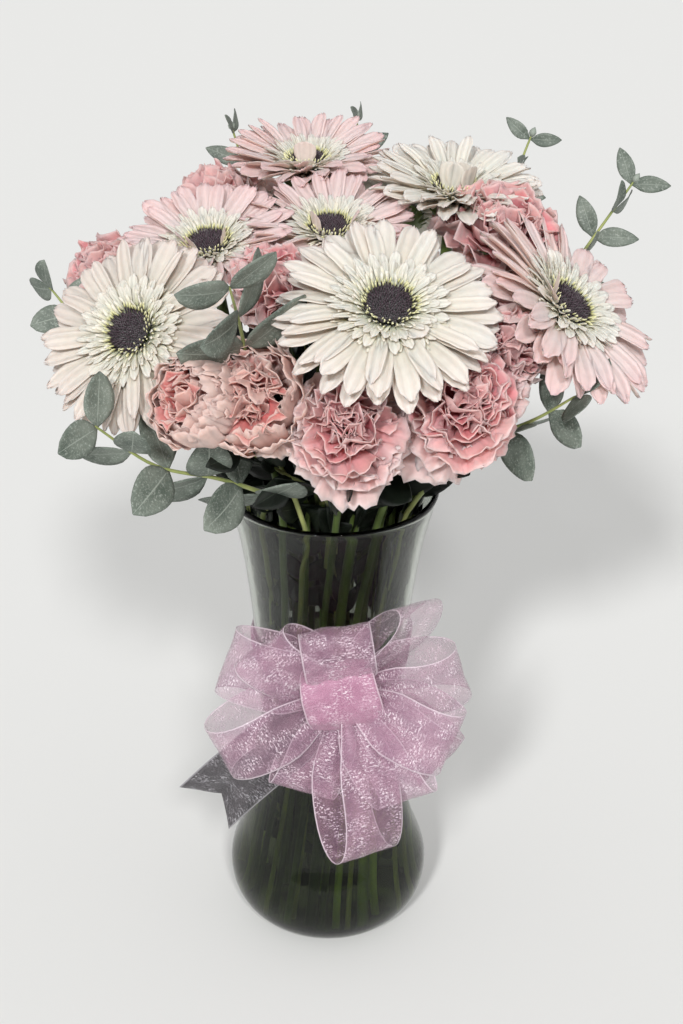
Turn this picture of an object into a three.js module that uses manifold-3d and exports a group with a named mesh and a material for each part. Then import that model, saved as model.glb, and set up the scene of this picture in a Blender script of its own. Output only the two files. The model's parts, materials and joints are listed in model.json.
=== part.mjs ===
// Gerberas, carnations and eucalyptus standing in water in a glass vase, with an organza bow at its neck.
// Millimetres, +Z up. The origin is the middle of the vase's foot, on the table, and the bow faces -Y.
import * as THREE from "three";
import { mergeVertices } from "three/addons/utils/BufferGeometryUtils.js";
import Module from "manifold-3d";

const wasm = await Module();
wasm.setup();
const { Manifold, Mesh } = wasm;

// Driving dimensions of the vase: a round bulb foot, a slim waist and a flared mouth
const vaseHeight = 285;
const vaseHeights = [0, 9, 32, 63, 92, 130, 195, 248, vaseHeight];
const vaseRadii = [40, 51.5, 59, 50, 41.5, 40, 43.5, 50, 58];
const vaseSides = 24;
const wall = 3;
const floorHeight = 9;
const waistHeight = 115;
const waterHeight = 180;
const gap = 0.35; // air between two pieces that touch

// How the stems stand: how far they keep from the glass and each other, and the turn of the bunch
const stemMargin = 4.6;
const stemSpacing = 8.4;
const bouquetRadius = 130;
const bunchTwist = THREE.MathUtils.degToRad(38);

// Blooms: `at` is the middle of the bloom's face, `facing` is [degrees to the right of the front, degrees up]
const gerberas = [
  { name: "front", at: [25, -92, 422], facing: [8, 54], radius: 53, cup: 2, roll: 0 },
  { name: "left", at: [-95, -74, 401], facing: [-30, 40], radius: 50, cup: 2, roll: 9 },
  { name: "right", at: [108, -50, 408], facing: [66, 48], radius: 56, cup: 5, roll: 4 },
  { name: "left_rear", at: [-63, -18, 424], facing: [-28, 72], radius: 46, cup: 16, roll: 15 },
  { name: "centre_rear", at: [-3, -8, 430], facing: [4, 77], radius: 45, cup: 18, roll: 6 },
  { name: "right_rear", at: [60, 22, 442], facing: [30, 82], radius: 46, cup: 20, roll: 11 },
  { name: "top", at: [-16, 62, 443], facing: [-10, 84], radius: 45, cup: 22, roll: 2 },
  { name: "back", at: [38, 116, 404], facing: [164, 42], radius: 48, cup: 6, roll: 8 },
];
const carnations = [
  { name: "left_bud", at: [-66, -115, 385], facing: [-30, 30], radius: 22, open: 0.5, roll: 0, over: true },
  { name: "front_left", at: [-40, -108, 386], facing: [-12, 38], radius: 26, open: 0.75, roll: 20 },
  { name: "front", at: [7, -112, 372], facing: [0, 32], radius: 30, open: 1, roll: 35 },
  { name: "front_right", at: [62, -101, 381], facing: [16, 36], radius: 33, open: 1, roll: 10 },
  { name: "right", at: [84, -76, 400], facing: [36, 40], radius: 25, open: 0.9, roll: 50, over: true },
  { name: "right_rear", at: [92, 2, 428], facing: [66, 58], radius: 30, open: 0.9, roll: 25 },
  { name: "centre", at: [-28, -54, 420], facing: [-10, 60], radius: 26, open: 0.8, roll: 5 },
  { name: "far_left", at: [-118, 10, 400], facing: [-84, 42], radius: 28, open: 0.9, roll: 40 },
  { name: "top_left", at: [-64, 54, 428], facing: [-120, 62], radius: 28, open: 0.9, roll: 15 },
  { name: "back_left", at: [-44, 112, 396], facing: [-160, 38], radius: 30, open: 1, roll: 30 },
  { name: "back_right", at: [100, 84, 396], facing: [128, 38], radius: 30, open: 1, roll: 45 },
];

// Leafy stems: `route` is what shows above the mouth and `forks` leave its first point
// `pairs` is how many pairs of leaves each of them bears, and `leaf` the length of the lowest leaf
const eucalyptus = [
  {
    name: "front_left",
    route: [[-25, -60, 306], [-54, -86, 330], [-84, -104, 346], [-110, -116, 372]],
    pairs: 6,
    leaf: 37,
  },
  { name: "centre", route: [[-46, -76, 372], [-54, -98, 410], [-56, -124, 450]], pairs: 3, leaf: 34 },
  { name: "far_left", route: [[-92, -20, 350], [-126, -16, 378], [-146, -6, 398]], pairs: 3, leaf: 28 },
  { name: "top_left", route: [[-36, 50, 372], [-50, 92, 424], [-58, 98, 452]], pairs: 4, leaf: 25 },
  { name: "top", route: [[12, 66, 372], [12, 112, 430], [10, 118, 454]], pairs: 3, leaf: 24 },
  { name: "top_right", route: [[56, 52, 372], [90, 72, 422], [104, 80, 456]], pairs: 4, leaf: 25 },
  { name: "far_right", route: [[92, 4, 360], [128, 22, 410], [166, 36, 454]], pairs: 5, leaf: 29 },
  { name: "low_right", route: [[66, -48, 332], [98, -74, 358], [124, -94, 384]], pairs: 3, leaf: 34 },
];
const darkFoliage = [
  {
    name: "front",
    route: [[-4, -50, 304], [0, -74, 330], [6, -92, 344]],
    forks: [[[-26, -68, 326], [-44, -82, 346]], [[30, -62, 326], [54, -80, 346]]],
    pairs: 2,
    leaf: 38,
  },
  {
    name: "back",
    route: [[4, 46, 304], [-3, 73, 326], [-10, 98, 348]],
    forks: [[[-45, 45, 326], [-85, 45, 346]], [[46, 33, 326], [81, 23, 346]]],
    pairs: 2,
    leaf: 36,
  },
];
const domeCentre = new THREE.Vector3(0, 0, 345);

// Sizes that every bloom or leaf of a kind shares; the shares are of the bloom's radius
const gerbera = {
  stemRadius: 2.9,
  stemSides: 5,
  lead: 46,
  petals: 13,
  crest: 1.3,
  foot: -4.6,
  rows: [
    {
      root: 0.3,
      height: -3.8,
      length: 1,
      width: 13.4,
      lift: 0,
      outline: [[0.5, 0.95], [0.86, 0.95], [1, 0.42]],
    },
    {
      root: 0.27,
      height: -1.2,
      length: 0.84,
      width: 12.2,
      lift: 10,
      outline: [[0.62, 1], [1, 0.46]],
    },
  ],
  seat: 0.235,
  seatHeight: 1.6,
  frillReach: 4.5,
  frillHeight: 5,
  eye: 0.22,
  calyxDepth: 14,
};
const carnation = {
  stemRadius: 1.9,
  stemSides: 4,
  lead: 30,
  crest: 1.2,
  thickness: 1,
  rows: [
    { root: 0.4, height: -0.32, length: 1, slope: 3 },
    { root: 0.34, height: -0.2, length: 0.94, slope: 30 },
    { root: 0.24, height: -0.08, length: 0.84, slope: 60 },
  ],
  calyxRadius: 5.6,
  calyxDepth: 26,
};
const leafy = {
  eucalyptus: {
    stemRadius: 1.5,
    stemSides: 3,
    crest: 0.9,
    plump: 0.66,
    outline: [[0, 0.05], [0.3, 0.92], [0.68, 0.94], [1, 0.16]],
    tipShare: 0.6,
    lean: 30,
  },
  dark: {
    stemRadius: 1.6,
    stemSides: 3,
    crest: 0.9,
    plump: 0.5,
    outline: [[0, 0.06], [0.42, 1], [1, 0.1]],
    tipShare: 0.8,
    lean: 30,
  },
};
const ribbon = {
  width: 38,
  pinch: 10,
  thickness: 0.9,
  knotHeight: 189,
  knotAside: THREE.MathUtils.degToRad(8),
  knotSize: [22, 12, 17],
  knotTurn: THREE.MathUtils.degToRad(12),
  bandLow: 178,
  bandHigh: 194,
  bandThickness: 1,
};
// Loops of the bow, as seen from the front: `turn` is degrees anticlockwise from the right
// `lean` is degrees forward, and `belly` opens the loop
const bowLoops = [
  { turn: 96, length: 68, belly: 9, lean: 24 },
  { turn: 144, length: 70, belly: 13, lean: 16 },
  { turn: 194, length: 84, belly: 12, lean: 12 },
  { turn: 244, length: 66, belly: 8, lean: 8 },
  { turn: 276, length: 96, belly: 12, lean: 20 },
  { turn: 318, length: 68, belly: 12, lean: 10 },
  { turn: 4, length: 66, belly: 14, lean: 18 },
  { turn: 48, length: 78, belly: 9, lean: 14 },
];
const bowTails = [{ turn: 226, length: 120, lean: 2 }];

const material = (color, roughness, extra = {}) =>
  new THREE.MeshStandardMaterial({ color, roughness, metalness: 0, flatShading: true, ...extra });
const materials = {
  glass: material("#dfe6e2", 0.05, { transparent: true, opacity: 0.35 }),
  water: material("#c9d3cb", 0.05, { transparent: true, opacity: 0.4 }),
  whiteRays: material("#f3e6dc", 0.6),
  pinkRays: material("#e8bfc0", 0.6),
  eye: material("#2b2029", 0.9),
  stem: material("#6b7f45", 0.6),
  pinkPetals: material("#e58f98", 0.65),
  palePetals: material("#e9b2ab", 0.65),
  eucalyptus: material("#6f8078", 0.7),
  dark: material("#2f3a2c", 0.6),
  organza: material("#d3a0bd", 0.4, { transparent: true, opacity: 0.75 }),
};

// A closed three.js geometry as a solid, and back
function solidOf(geometry) {
  const bare = geometry.clone();
  bare.deleteAttribute("normal");
  bare.deleteAttribute("uv");
  const merged = mergeVertices(bare, 1e-3);
  const vertProperties = merged.attributes.position.array;
  const triVerts = new Uint32Array(merged.index.array);
  return new Manifold(new Mesh({ numProp: 3, vertProperties, triVerts }));
}

function geometryOf(solid) {
  const mesh = solid.getMesh();
  const geometry = new THREE.BufferGeometry();
  geometry.setAttribute("position", new THREE.BufferAttribute(mesh.vertProperties, 3));
  geometry.setIndex(new THREE.BufferAttribute(mesh.triVerts, 1));
  geometry.computeVertexNormals();
  return geometry;
}

// Fuses solids and keeps the largest body, so that a scrap cut loose is left out
function fused(solids) {
  const bodies = Manifold.union(solids).decompose();
  return bodies.reduce((most, body) => (body.volume() > most.volume() ? body : most));
}

// A body still to be closed: its corner points and its faces, as the numbers of three points each
const bodyOf = (points, faces) => ({ points, faces });

function geometryFrom({ points, faces }) {
  const geometry = new THREE.BufferGeometry();
  const numbers = points.flatMap((point) => point.toArray());
  geometry.setAttribute("position", new THREE.Float32BufferAttribute(numbers, 3));
  geometry.setIndex(faces);
  return geometry;
}

// Faces between rows of as many corner points each, and over the end; the start stays open
function loftBody(rows) {
  const sides = rows[0].length;
  const faces = [];
  for (let r = 0; r + 1 < rows.length; r++)
    for (let c = 0; c < sides; c++) {
      const [a, b] = [r * sides + c, r * sides + ((c + 1) % sides)];
      faces.push(a, b, b + sides, a, b + sides, a + sides);
    }
  const last = (rows.length - 1) * sides;
  for (let c = 1; c + 1 < sides; c++) faces.push(last, last + c, last + c + 1);
  return bodyOf(rows.flat(), faces);
}

function loft(rows) {
  const { points, faces } = loftBody(rows);
  for (let c = 1; c + 1 < rows[0].length; c++) faces.push(0, c + 1, c);
  return geometryFrom(bodyOf(points, faces));
}

// The three corners that a petal grows from: its two sides and, above their middle, its crest
const petalRoot = (half, crest) => [
  new THREE.Vector3(0, half, 0),
  new THREE.Vector3(0, 0, crest),
  new THREE.Vector3(0, -half, 0),
];

// Sections of a petal or leaf with a ridge along its upper side
// It goes out along +X and climbs at slope(share)
function bladeRows({ length, width, outline, slope, crest }) {
  let [x, z, before] = [0, 0, 0];
  return outline.map(([share, wide]) => {
    const climb = slope((share + before) / 2);
    x += (share - before) * length * Math.cos(climb);
    z += (share - before) * length * Math.sin(climb);
    before = share;
    const half = (wide * width) / 2;
    const rise = crest * Math.min(1, 6 * wide);
    const ridge = new THREE.Vector3(x - rise * Math.sin(climb), 0, z + rise * Math.cos(climb));
    return [new THREE.Vector3(x, half, z), ridge, new THREE.Vector3(x, -half, z)];
  });
}

// A carnation petal from its root to an outer edge of four points, waved up and down and toothed
// The inner low point carries the fold of the underside, which keeps it under the upper side
function ruffledPetal({ half, fan, length, slope, wave, crest, thickness }) {
  const lift = new THREE.Vector3(-Math.sin(slope), 0, Math.cos(slope));
  const edge = [1, 0.36, -0.36, -1].map((across, i) => {
    const sign = i % 2 ? -1 : 1;
    const reach = length * (1 - 0.14 * across * across + 0.05 * sign);
    const point = new THREE.Vector3(reach * Math.cos(slope), 0, reach * Math.sin(slope));
    point.y = across * (half + point.x * fan);
    return point.addScaledVector(lift, sign * wave);
  });
  const under = edge.map((point) => point.clone().addScaledVector(lift, -thickness));
  // Corners 0 to 2 are the root's, 3 to 6 the edge's upper ones and 7 to 10 its lower ones
  const upper = [0, 4, 3, 0, 1, 4, 1, 5, 4, 1, 2, 5, 2, 6, 5];
  const lower = [0, 7, 8, 0, 8, 2, 2, 8, 9, 2, 9, 10];
  const ends = [0, 3, 7, 2, 10, 6];
  const rim = [3, 4, 5].flatMap((i) => [i, i + 1, i + 5, i, i + 5, i + 4]);
  return bodyOf([...petalRoot(half, crest), ...edge, ...under], [...upper, ...lower, ...ends, ...rim]);
}

// A bloom's hub, in rows of corners from its underside up, each row half a step round from the last
// petalAt(row, i, matrix) gives a petal in its own frame, or nothing
// topOff closes the hub above the last row
function rosette({ count, rows, crest, foot, topOff, petalAt }) {
  const points = [];
  const faces = [];
  const add = (point) => points.push(point) - 1;
  const polar = (radius, turn, z) =>
    add(new THREE.Vector3(radius * Math.cos(turn), radius * Math.sin(turn), z));
  const step = (2 * Math.PI) / count;
  const middle = Math.cos(step / 2);
  const steps = [...Array(count).keys()];
  const bottom = add(new THREE.Vector3(0, 0, foot));
  let below = steps.map(() => bottom);
  let crests;
  rows.forEach(({ radius, height }, r) => {
    const turnOf = (i) => (i + r / 2) * step;
    const corners = steps.map((i) => polar(radius, turnOf(i), height));
    const next = (i) => corners[(i + 1) % count];
    // The band under this row: from the bottom point, or from the corners and crests of the row below
    steps.forEach((i) => {
      if (!r) return faces.push(bottom, next(i), corners[i]);
      const [from, to] = [below[i], below[(i + 1) % count]];
      faces.push(from, crests[i], corners[i], crests[i], to, corners[i]);
      faces.push(from, corners[i], corners[(i + count - 1) % count]);
    });
    crests = steps.map((i) => polar(radius * middle, turnOf(i + 0.5), height + crest));
    steps.forEach((i) => {
      const matrix = new THREE.Matrix4().makeRotationZ(turnOf(i + 0.5));
      matrix.multiply(new THREE.Matrix4().makeTranslation(radius * middle, 0, height));
      const petal = petalAt(r, i, matrix);
      const root = [next(i), crests[i], corners[i]];
      if (!petal) return faces.push(...root);
      const own = petal.points.slice(3).map((point) => add(point.clone().applyMatrix4(matrix)));
      faces.push(...petal.faces.map((n) => (n < 3 ? root[n] : own[n - 3])));
    });
    below = corners;
  });
  steps.forEach((i) => {
    const [corner, next] = [below[i], below[(i + 1) % count]];
    topOff({ i, faces, polar, corner, next, crest: crests[i] });
  });
  return solidOf(geometryFrom(bodyOf(points, faces)));
}

// A round solid on a flat base at z = 0, its top raised by height(radius share, ring, side)
function mound({ radius, rings, sides, height }) {
  const points = [0, 0, height(0, 0, 0), 0, 0, 0];
  for (let ring = 1; ring <= rings; ring++)
    for (let side = 0; side < sides; side++) {
      const angle = (2 * Math.PI * (side + (ring % 2) / 2)) / sides;
      const r = (radius * ring) / rings;
      points.push(r * Math.cos(angle), r * Math.sin(angle), height(ring / rings, ring, side));
    }
  const start = (ring) => 2 + (ring - 1) * sides;
  const faces = [];
  const foot = start(rings + 1);
  for (let side = 0; side < sides; side++) {
    points.push(points[3 * (start(rings) + side)], points[3 * (start(rings) + side) + 1], 0);
    const next = (side + 1) % sides;
    faces.push(0, start(1) + side, start(1) + next);
    faces.push(1, foot + next, foot + side);
    faces.push(start(rings) + side, foot + side, foot + next);
    faces.push(start(rings) + side, foot + next, start(rings) + next);
    for (let ring = 1; ring < rings; ring++) {
      const [a, b] = [start(ring) + side, start(ring) + next];
      // Odd rings stand half a side ahead of even ones
      const [c, d] = [start(ring + 1) + side, start(ring + 1) + next];
      if (ring % 2) faces.push(a, d, b, a, c, d);
      else faces.push(a, c, b, b, c, d);
    }
  }
  const geometry = new THREE.BufferGeometry();
  geometry.setAttribute("position", new THREE.Float32BufferAttribute(points, 3));
  geometry.setIndex(faces);
  return geometry;
}

// A round rod through sections, each a point and the way the rod runs there
function rod(sections, radius, sides) {
  const side = new THREE.Vector3(1, 0, 0);
  return loft(
    sections.map(({ at, along }) => {
      side.addScaledVector(along, -side.dot(along)).normalize();
      const front = new THREE.Vector3().crossVectors(along, side);
      return [...Array(sides).keys()].map((i) => {
        const angle = (2 * Math.PI * (i + 0.5)) / sides;
        const out = side.clone().multiplyScalar(Math.cos(angle)).addScaledVector(front, Math.sin(angle));
        return out.multiplyScalar(radius).add(at);
      });
    }),
  );
}

const curveThrough = (points) => new THREE.CatmullRomCurve3(points, false, "centripetal");
const sectionAt = (path, share) => ({ at: path.getPoint(share), along: path.getTangent(share) });
const upwards = new THREE.Vector3(0, 0, 1);

// What already stands, so that later petals and leaves are bent clear of it
const standing = [];

function stand(node, solid) {
  standing.push({ node, solid, box: solid.boundingBox() });
}

function isClear(node, solid) {
  const { min, max } = solid.boundingBox();
  const apart = (box) => [0, 1, 2].some((i) => min[i] - gap > box.max[i] || box.min[i] - gap > max[i]);
  return standing.every(
    (other) => other.node === node || apart(other.box) || solid.minGap(other.solid, 2 * gap) > 0.9 * gap,
  );
}

// A stem's first sideways sway above the mouth that keeps it clear of everything that stands
const sways = [0, 4, 8, 12, 16].flatMap((far) => {
  const swayTo = (_, i) => new THREE.Vector3(far, 0, 0).applyAxisAngle(upwards, (i * Math.PI) / 4);
  return Array.from({ length: far ? 8 : 1 }, swayTo);
});

function swayedClear(node, stemWith) {
  for (const sway of sways) {
    const stem = stemWith(sway);
    if (isClear(node, stem.solid)) {
      stand(node, stem.solid);
      return stem;
    }
  }
  throw new Error(`${node} finds no clear way`);
}

// The first bend, in degrees, that keeps a blade clear of everything else
// With none that does, the plant goes without it
const bends = [0, 7, -7, 14, -14, 21, -21, 30, -30, 40, 52, 64];

function bentClear(node, shapeOf, solidAt) {
  for (const bend of bends) {
    const shape = shapeOf(THREE.MathUtils.degToRad(bend));
    const solid = solidAt(shape);
    if (isClear(node, solid)) {
      stand(node, solid);
      return shape;
    }
  }
  return null;
}

// Glass and water
const vaseCurve = new THREE.CubicInterpolant(vaseHeights, vaseRadii, 1);
const outerRadius = (height) => vaseCurve.evaluate(height)[0];
const innerRadius = (height) => outerRadius(height) - wall;

// Heights of the rings that the glass and the water share, and of the glass's other rings
const wetLevels = [13, 22, 34, 46, 62, 84, 135];
const neckLevels = [ribbon.bandLow, ribbon.bandHigh, 235, vaseHeight];
const floorRadius = innerRadius(floorHeight) - 6;

const latheOf = (outline) =>
  new THREE.LatheGeometry(
    outline.map(([r, z]) => new THREE.Vector2(r, z)),
    vaseSides,
  );

function vaseGeometry() {
  const outside = [0, 4, 12, ...wetLevels.slice(1), ...neckLevels];
  const inside = [...wetLevels, ...neckLevels.slice(1)].reverse();
  return latheOf([
    [0, 0],
    ...outside.map((z) => [outerRadius(z), z]),
    ...inside.map((z) => [innerRadius(z), z]),
    [floorRadius, floorHeight],
    [0, floorHeight],
  ]);
}

// A lathe of flat sides cuts inside its circle, so the water's outline keeps two gaps off the glass
function waterGeometry() {
  const foot = floorHeight + gap;
  return latheOf([
    [0, foot],
    [floorRadius - 2 * gap, foot],
    ...[...wetLevels, waterHeight].map((z) => [innerRadius(z) - 2 * gap, z]),
    [0, waterHeight],
  ]);
}

// Where each stem passes the waist: it keeps its bloom's bearing
// Neighbours push each other apart until all have room
function waistPlaces(targets) {
  const reach = innerRadius(waistHeight) - stemMargin;
  const places = targets.map(([x, y]) => new THREE.Vector2(x, y).multiplyScalar(reach / bouquetRadius));
  for (let round = 0; round < 300; round++) {
    places.forEach((a, i) =>
      places.slice(i + 1).forEach((b) => {
        const between = b.clone().sub(a);
        const short = stemSpacing - between.length();
        if (short > 0) {
          a.addScaledVector(between.setLength(short / 2), -1);
          b.add(between);
        }
      }),
    );
    places.forEach((place) => place.clampLength(0, reach));
  }
  return places;
}

// The stem's way through the vase, from its cut end on the glass floor to the mouth
// `footSpread` and `mouthSpread` are how far the bunch spreads below and above the waist
const stemFoot = floorHeight + 0.5;
const wayHeights = [stemFoot, waistHeight, 170, 225, vaseHeight];
const footSpread = 0.22;
const mouthSpread = 0.57;

function wayThroughVase(place) {
  const reach = innerRadius(waistHeight) - stemMargin;
  return wayHeights.map((z) => {
    const below = 1 + footSpread * (1 - z / waistHeight);
    const spread = 1 + (mouthSpread * (z - waistHeight)) / (vaseHeight - waistHeight);
    const above = Math.min(spread, (innerRadius(z) - stemMargin) / reach);
    const turned = place.clone().multiplyScalar(z < waistHeight ? below : above);
    turned.rotateAround(new THREE.Vector2(), -bunchTwist * (1 - z / vaseHeight));
    return new THREE.Vector3(turned.x, turned.y, z);
  });
}

// A stem through the vase and on along a route, with the hole that it needs in the water
function stemAlong(place, route, { stemRadius, stemSides }) {
  const inVase = wayThroughVase(place);
  const points = [...inVase, ...route];
  const path = curveThrough(points);
  const last = points.length - 1;
  // It runs straight between level sections as far as the water holds it, and bends above the mouth
  const wet = [0, 1, 3].map((step) => ({ at: path.getPoint(step / last), along: upwards }));
  const drySteps = [4, 4.5, ...route.map((point, i) => i + 5)];
  const sections = [...wet, ...drySteps.map((step) => sectionAt(path, step / last))];
  // The hole starts below the water's underside
  const down = wet[0].at.clone().sub(wet[1].at).setLength(6);
  const under = { at: wet[0].at.clone().add(down), along: upwards };
  return {
    solid: solidOf(rod(sections, stemRadius, stemSides)),
    hole: solidOf(rod([under, ...sections.slice(1, 3)], stemRadius + 2 * gap, stemSides)),
  };
}

function directionOf([right, up]) {
  const [a, e] = [right, up].map(THREE.MathUtils.degToRad);
  return new THREE.Vector3(Math.sin(a) * Math.cos(e), -Math.cos(a) * Math.cos(e), Math.sin(e));
}

// The frame of a bloom: its face looks along +Z
function bloomFrame({ at, facing, roll }) {
  const frame = new THREE.Object3D();
  frame.position.set(...at);
  frame.quaternion.setFromUnitVectors(upwards, directionOf(facing));
  frame.rotateZ(THREE.MathUtils.degToRad(roll));
  frame.updateMatrix();
  return frame;
}

// A bloom's own geometry as a solid in its place
const setIn = (frame, geometry) => solidOf(geometry.clone().applyMatrix4(frame.matrix));

// A stem with the green cup under its bloom, whose outline is [radius, height] from the foot up
function bloomStem({ bloom, place, frame, outline, kind, sway }) {
  const facing = directionOf(bloom.facing);
  const head = new THREE.Vector3(...bloom.at);
  const foot = outline[0][1];
  const route = [foot - kind.lead, foot + 1].map((along) => head.clone().addScaledVector(facing, along));
  route[0].add(sway);
  const stem = stemAlong(place, route, kind);
  const profile = [[0, foot], ...outline, [0, outline.at(-1)[1]]].map(([r, z]) => new THREE.Vector2(r, z));
  const cup = setIn(frame, new THREE.LatheGeometry(profile, kind.stemSides + 2).rotateX(Math.PI / 2));
  return { ...stem, solid: fused([stem.solid, cup]) };
}

function gerberaStem(bloom, place, frame, sway) {
  const top = gerbera.foot - gap;
  const wide = gerbera.rows[0].root * bloom.radius - 1;
  const outline = [[gerbera.stemRadius + 0.6, top - gerbera.calyxDepth], [wide * 0.8, top - 6], [wide, top]];
  return bloomStem({ bloom, place, frame, outline, kind: gerbera, sway });
}

function carnationStem(bloom, place, frame, sway) {
  const { stemRadius, calyxRadius, calyxDepth } = carnation;
  const top = carnationFoot(bloom) - gap;
  const foot = top - calyxDepth;
  const outline = [[stemRadius + 0.8, foot], [calyxRadius, foot + 6], [calyxRadius + 1.4, top]];
  return bloomStem({ bloom, place, frame, outline, kind: carnation, sway });
}

function gerberaEye(bloom, frame) {
  const radius = gerbera.eye * bloom.radius;
  const dome = (share) => 1.8 + 2.2 * (1 - share * share);
  const floret = (ring, side) => (ring && (ring + side) % 2 ? 0.9 : 0);
  const height = (share, ring, side) => dome(share) + floret(ring, side);
  const geometry = mound({ radius, rings: 2, sides: 8, height });
  return setIn(frame, geometry.translate(0, 0, gerbera.seatHeight + gap));
}

// A bloom's hub, which stands at once, and the way to give it its petals later
// Each petal is bent clear of what stands then
// `shapeOf(row, i, bend)` shapes a petal in its own frame
function bloomOf({ node, frame, shapeOf, ...hub }) {
  const build = (petalAt) => rosette({ ...hub, petalAt }).transform(frame.matrix.elements);
  stand(node, build(() => null));
  return () =>
    build((r, i, matrix) => {
      const place = frame.matrix.clone().multiply(matrix);
      const closed = ({ points, faces }) =>
        solidOf(geometryFrom(bodyOf(points, [0, 2, 1, ...faces])).applyMatrix4(place));
      return bentClear(node, (bend) => shapeOf(r, i, bend), closed);
    });
}

function gerberaRays(bloom, frame) {
  const node = `gerbera_${bloom.name}_rays`;
  const { petals: count, crest, foot, seat, seatHeight, frillReach, frillHeight } = gerbera;
  const step = Math.PI / count;
  const rows = gerbera.rows.map((row) => ({ ...row, radius: row.root * bloom.radius }));
  const shapeOf = (r, i, bend) => {
    const row = rows[r];
    const even = 1 + 0.05 * Math.sin(7 * i + 3 * r + bloom.roll);
    const climb = THREE.MathUtils.degToRad(bloom.cup + row.lift) + bend;
    const stations = bladeRows({
      length: row.length * bloom.radius * even - row.radius,
      width: row.width * (bloom.radius / 50),
      outline: row.outline,
      slope: (share) => climb + 0.2 * (1 - 2.2 * share),
      crest,
    });
    return loftBody([petalRoot(row.radius * Math.sin(step), crest), ...stations]);
  };
  // Each inner floret of the pale frill is a spike between the last row of rays and the seat of the eye
  const topOff = ({ i, faces, polar, corner, next, crest: ridge }) => {
    const turn = (2 * i + rows.length) * step;
    const seatAt = (n) => polar(seat * bloom.radius, turn + 2 * n * step, seatHeight);
    const [before, here] = [seatAt(-1), seatAt(0)];
    const tip = polar(rows.at(-1).radius + frillReach, turn, frillHeight);
    faces.push(corner, ridge, tip, ridge, next, tip, next, here, tip, here, corner, tip);
    faces.push(corner, here, before, before, here, polar(0, 0, seatHeight));
  };
  return bloomOf({ node, frame, shapeOf, count, rows, crest, foot, topOff });
}

// Where a carnation's petals end below, in its own frame
const carnationFoot = (bloom) => -0.5 * bloom.radius;

function carnationPetals(bloom, frame) {
  const node = `carnation_${bloom.name}_petals`;
  const { crest, thickness } = carnation;
  const count = bloom.radius > 29 ? 6 : 5;
  const fan = 0.95 * Math.tan(Math.PI / count);
  const narrow = 0.6 + 0.4 * bloom.open;
  const rows = carnation.rows.map((row) => ({
    ...row,
    radius: row.root * bloom.radius * narrow,
    height: row.height * bloom.radius,
  }));
  const shapeOf = (r, i, bend) => {
    const row = rows[r];
    const even = 1 + 0.06 * Math.sin(5 * i + 2 * r + bloom.roll);
    return ruffledPetal({
      half: row.radius * Math.sin(Math.PI / count),
      fan,
      length: (row.length * bloom.radius - row.radius) * even,
      slope: THREE.MathUtils.degToRad(row.slope + 50 * (1 - bloom.open)) + bend,
      wave: 0.08 * bloom.radius,
      crest,
      thickness,
    });
  };
  const topOff = ({ faces, polar, corner, next, crest: ridge }) => {
    const top = polar(0, 0, 0.12 * bloom.radius);
    faces.push(corner, ridge, top, ridge, next, top);
  };
  return bloomOf({ node, frame, shapeOf, count, rows, crest, foot: carnationFoot(bloom), topOff });
}

// Pairs of leaves along a route above the mouth, smaller towards the tip, their faces turned out of the bunch
function leavesAlong({ node, route, pairs, leaf, kind }) {
  const solids = [];
  const path = curveThrough(route);
  for (let pair = 0; pair < pairs; pair++) {
    const share = Math.min((pair + 0.75) / pairs, 0.985);
    const length = leaf * (1 - (1 - kind.tipShare) * share);
    const along = path.getTangentAt(share);
    const root = path.getPointAt(share);
    const face = root.clone().sub(domeCentre).normalize();
    face.addScaledVector(along, -face.dot(along)).normalize();
    face.applyAxisAngle(along, THREE.MathUtils.degToRad(pair % 2 ? 42 : -24));
    for (const side of [1, -1]) {
      const out = new THREE.Vector3().crossVectors(face, along).multiplyScalar(side);
      const lean = THREE.MathUtils.degToRad(kind.lean + (pair === pairs - 1 ? 18 : 0));
      const ahead = out.clone().multiplyScalar(Math.cos(lean)).addScaledVector(along, Math.sin(lean));
      const basis = new THREE.Matrix4().makeBasis(ahead, new THREE.Vector3().crossVectors(face, ahead), face);
      basis.setPosition(root.clone().addScaledVector(out, 0.3));
      const shapeOf = (bend) =>
        bladeRows({
          length,
          width: length * kind.plump,
          outline: kind.outline,
          slope: (t) => 0.3 - 0.7 * t + bend,
          crest: kind.crest,
        });
      const solidAt = (rows) => solidOf(loft(rows).applyMatrix4(basis));
      const rows = bentClear(node, shapeOf, solidAt);
      if (rows) solids.push(solidAt(rows));
    }
  }
  return solids;
}

// A leafy stem's forks and leaves
function foliageOf({ node, sprig, kind }) {
  const route = sprig.route.map((point) => new THREE.Vector3(...point));
  const forks = (sprig.forks ?? []).map((fork) => [
    route[0],
    ...fork.map((point) => new THREE.Vector3(...point)),
  ]);
  const rods = forks.map((fork) => {
    const path = curveThrough(fork);
    const sections = [0, 0.5, 1].map((share) => sectionAt(path, share));
    return solidOf(rod(sections, kind.stemRadius * 0.8, kind.stemSides));
  });
  rods.forEach((solid) => stand(node, solid));
  const { pairs, leaf } = sprig;
  const leaves = [route, ...forks].flatMap((way) => leavesAlong({ node, route: way, pairs, leaf, kind }));
  return [...rods, ...leaves];
}

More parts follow.
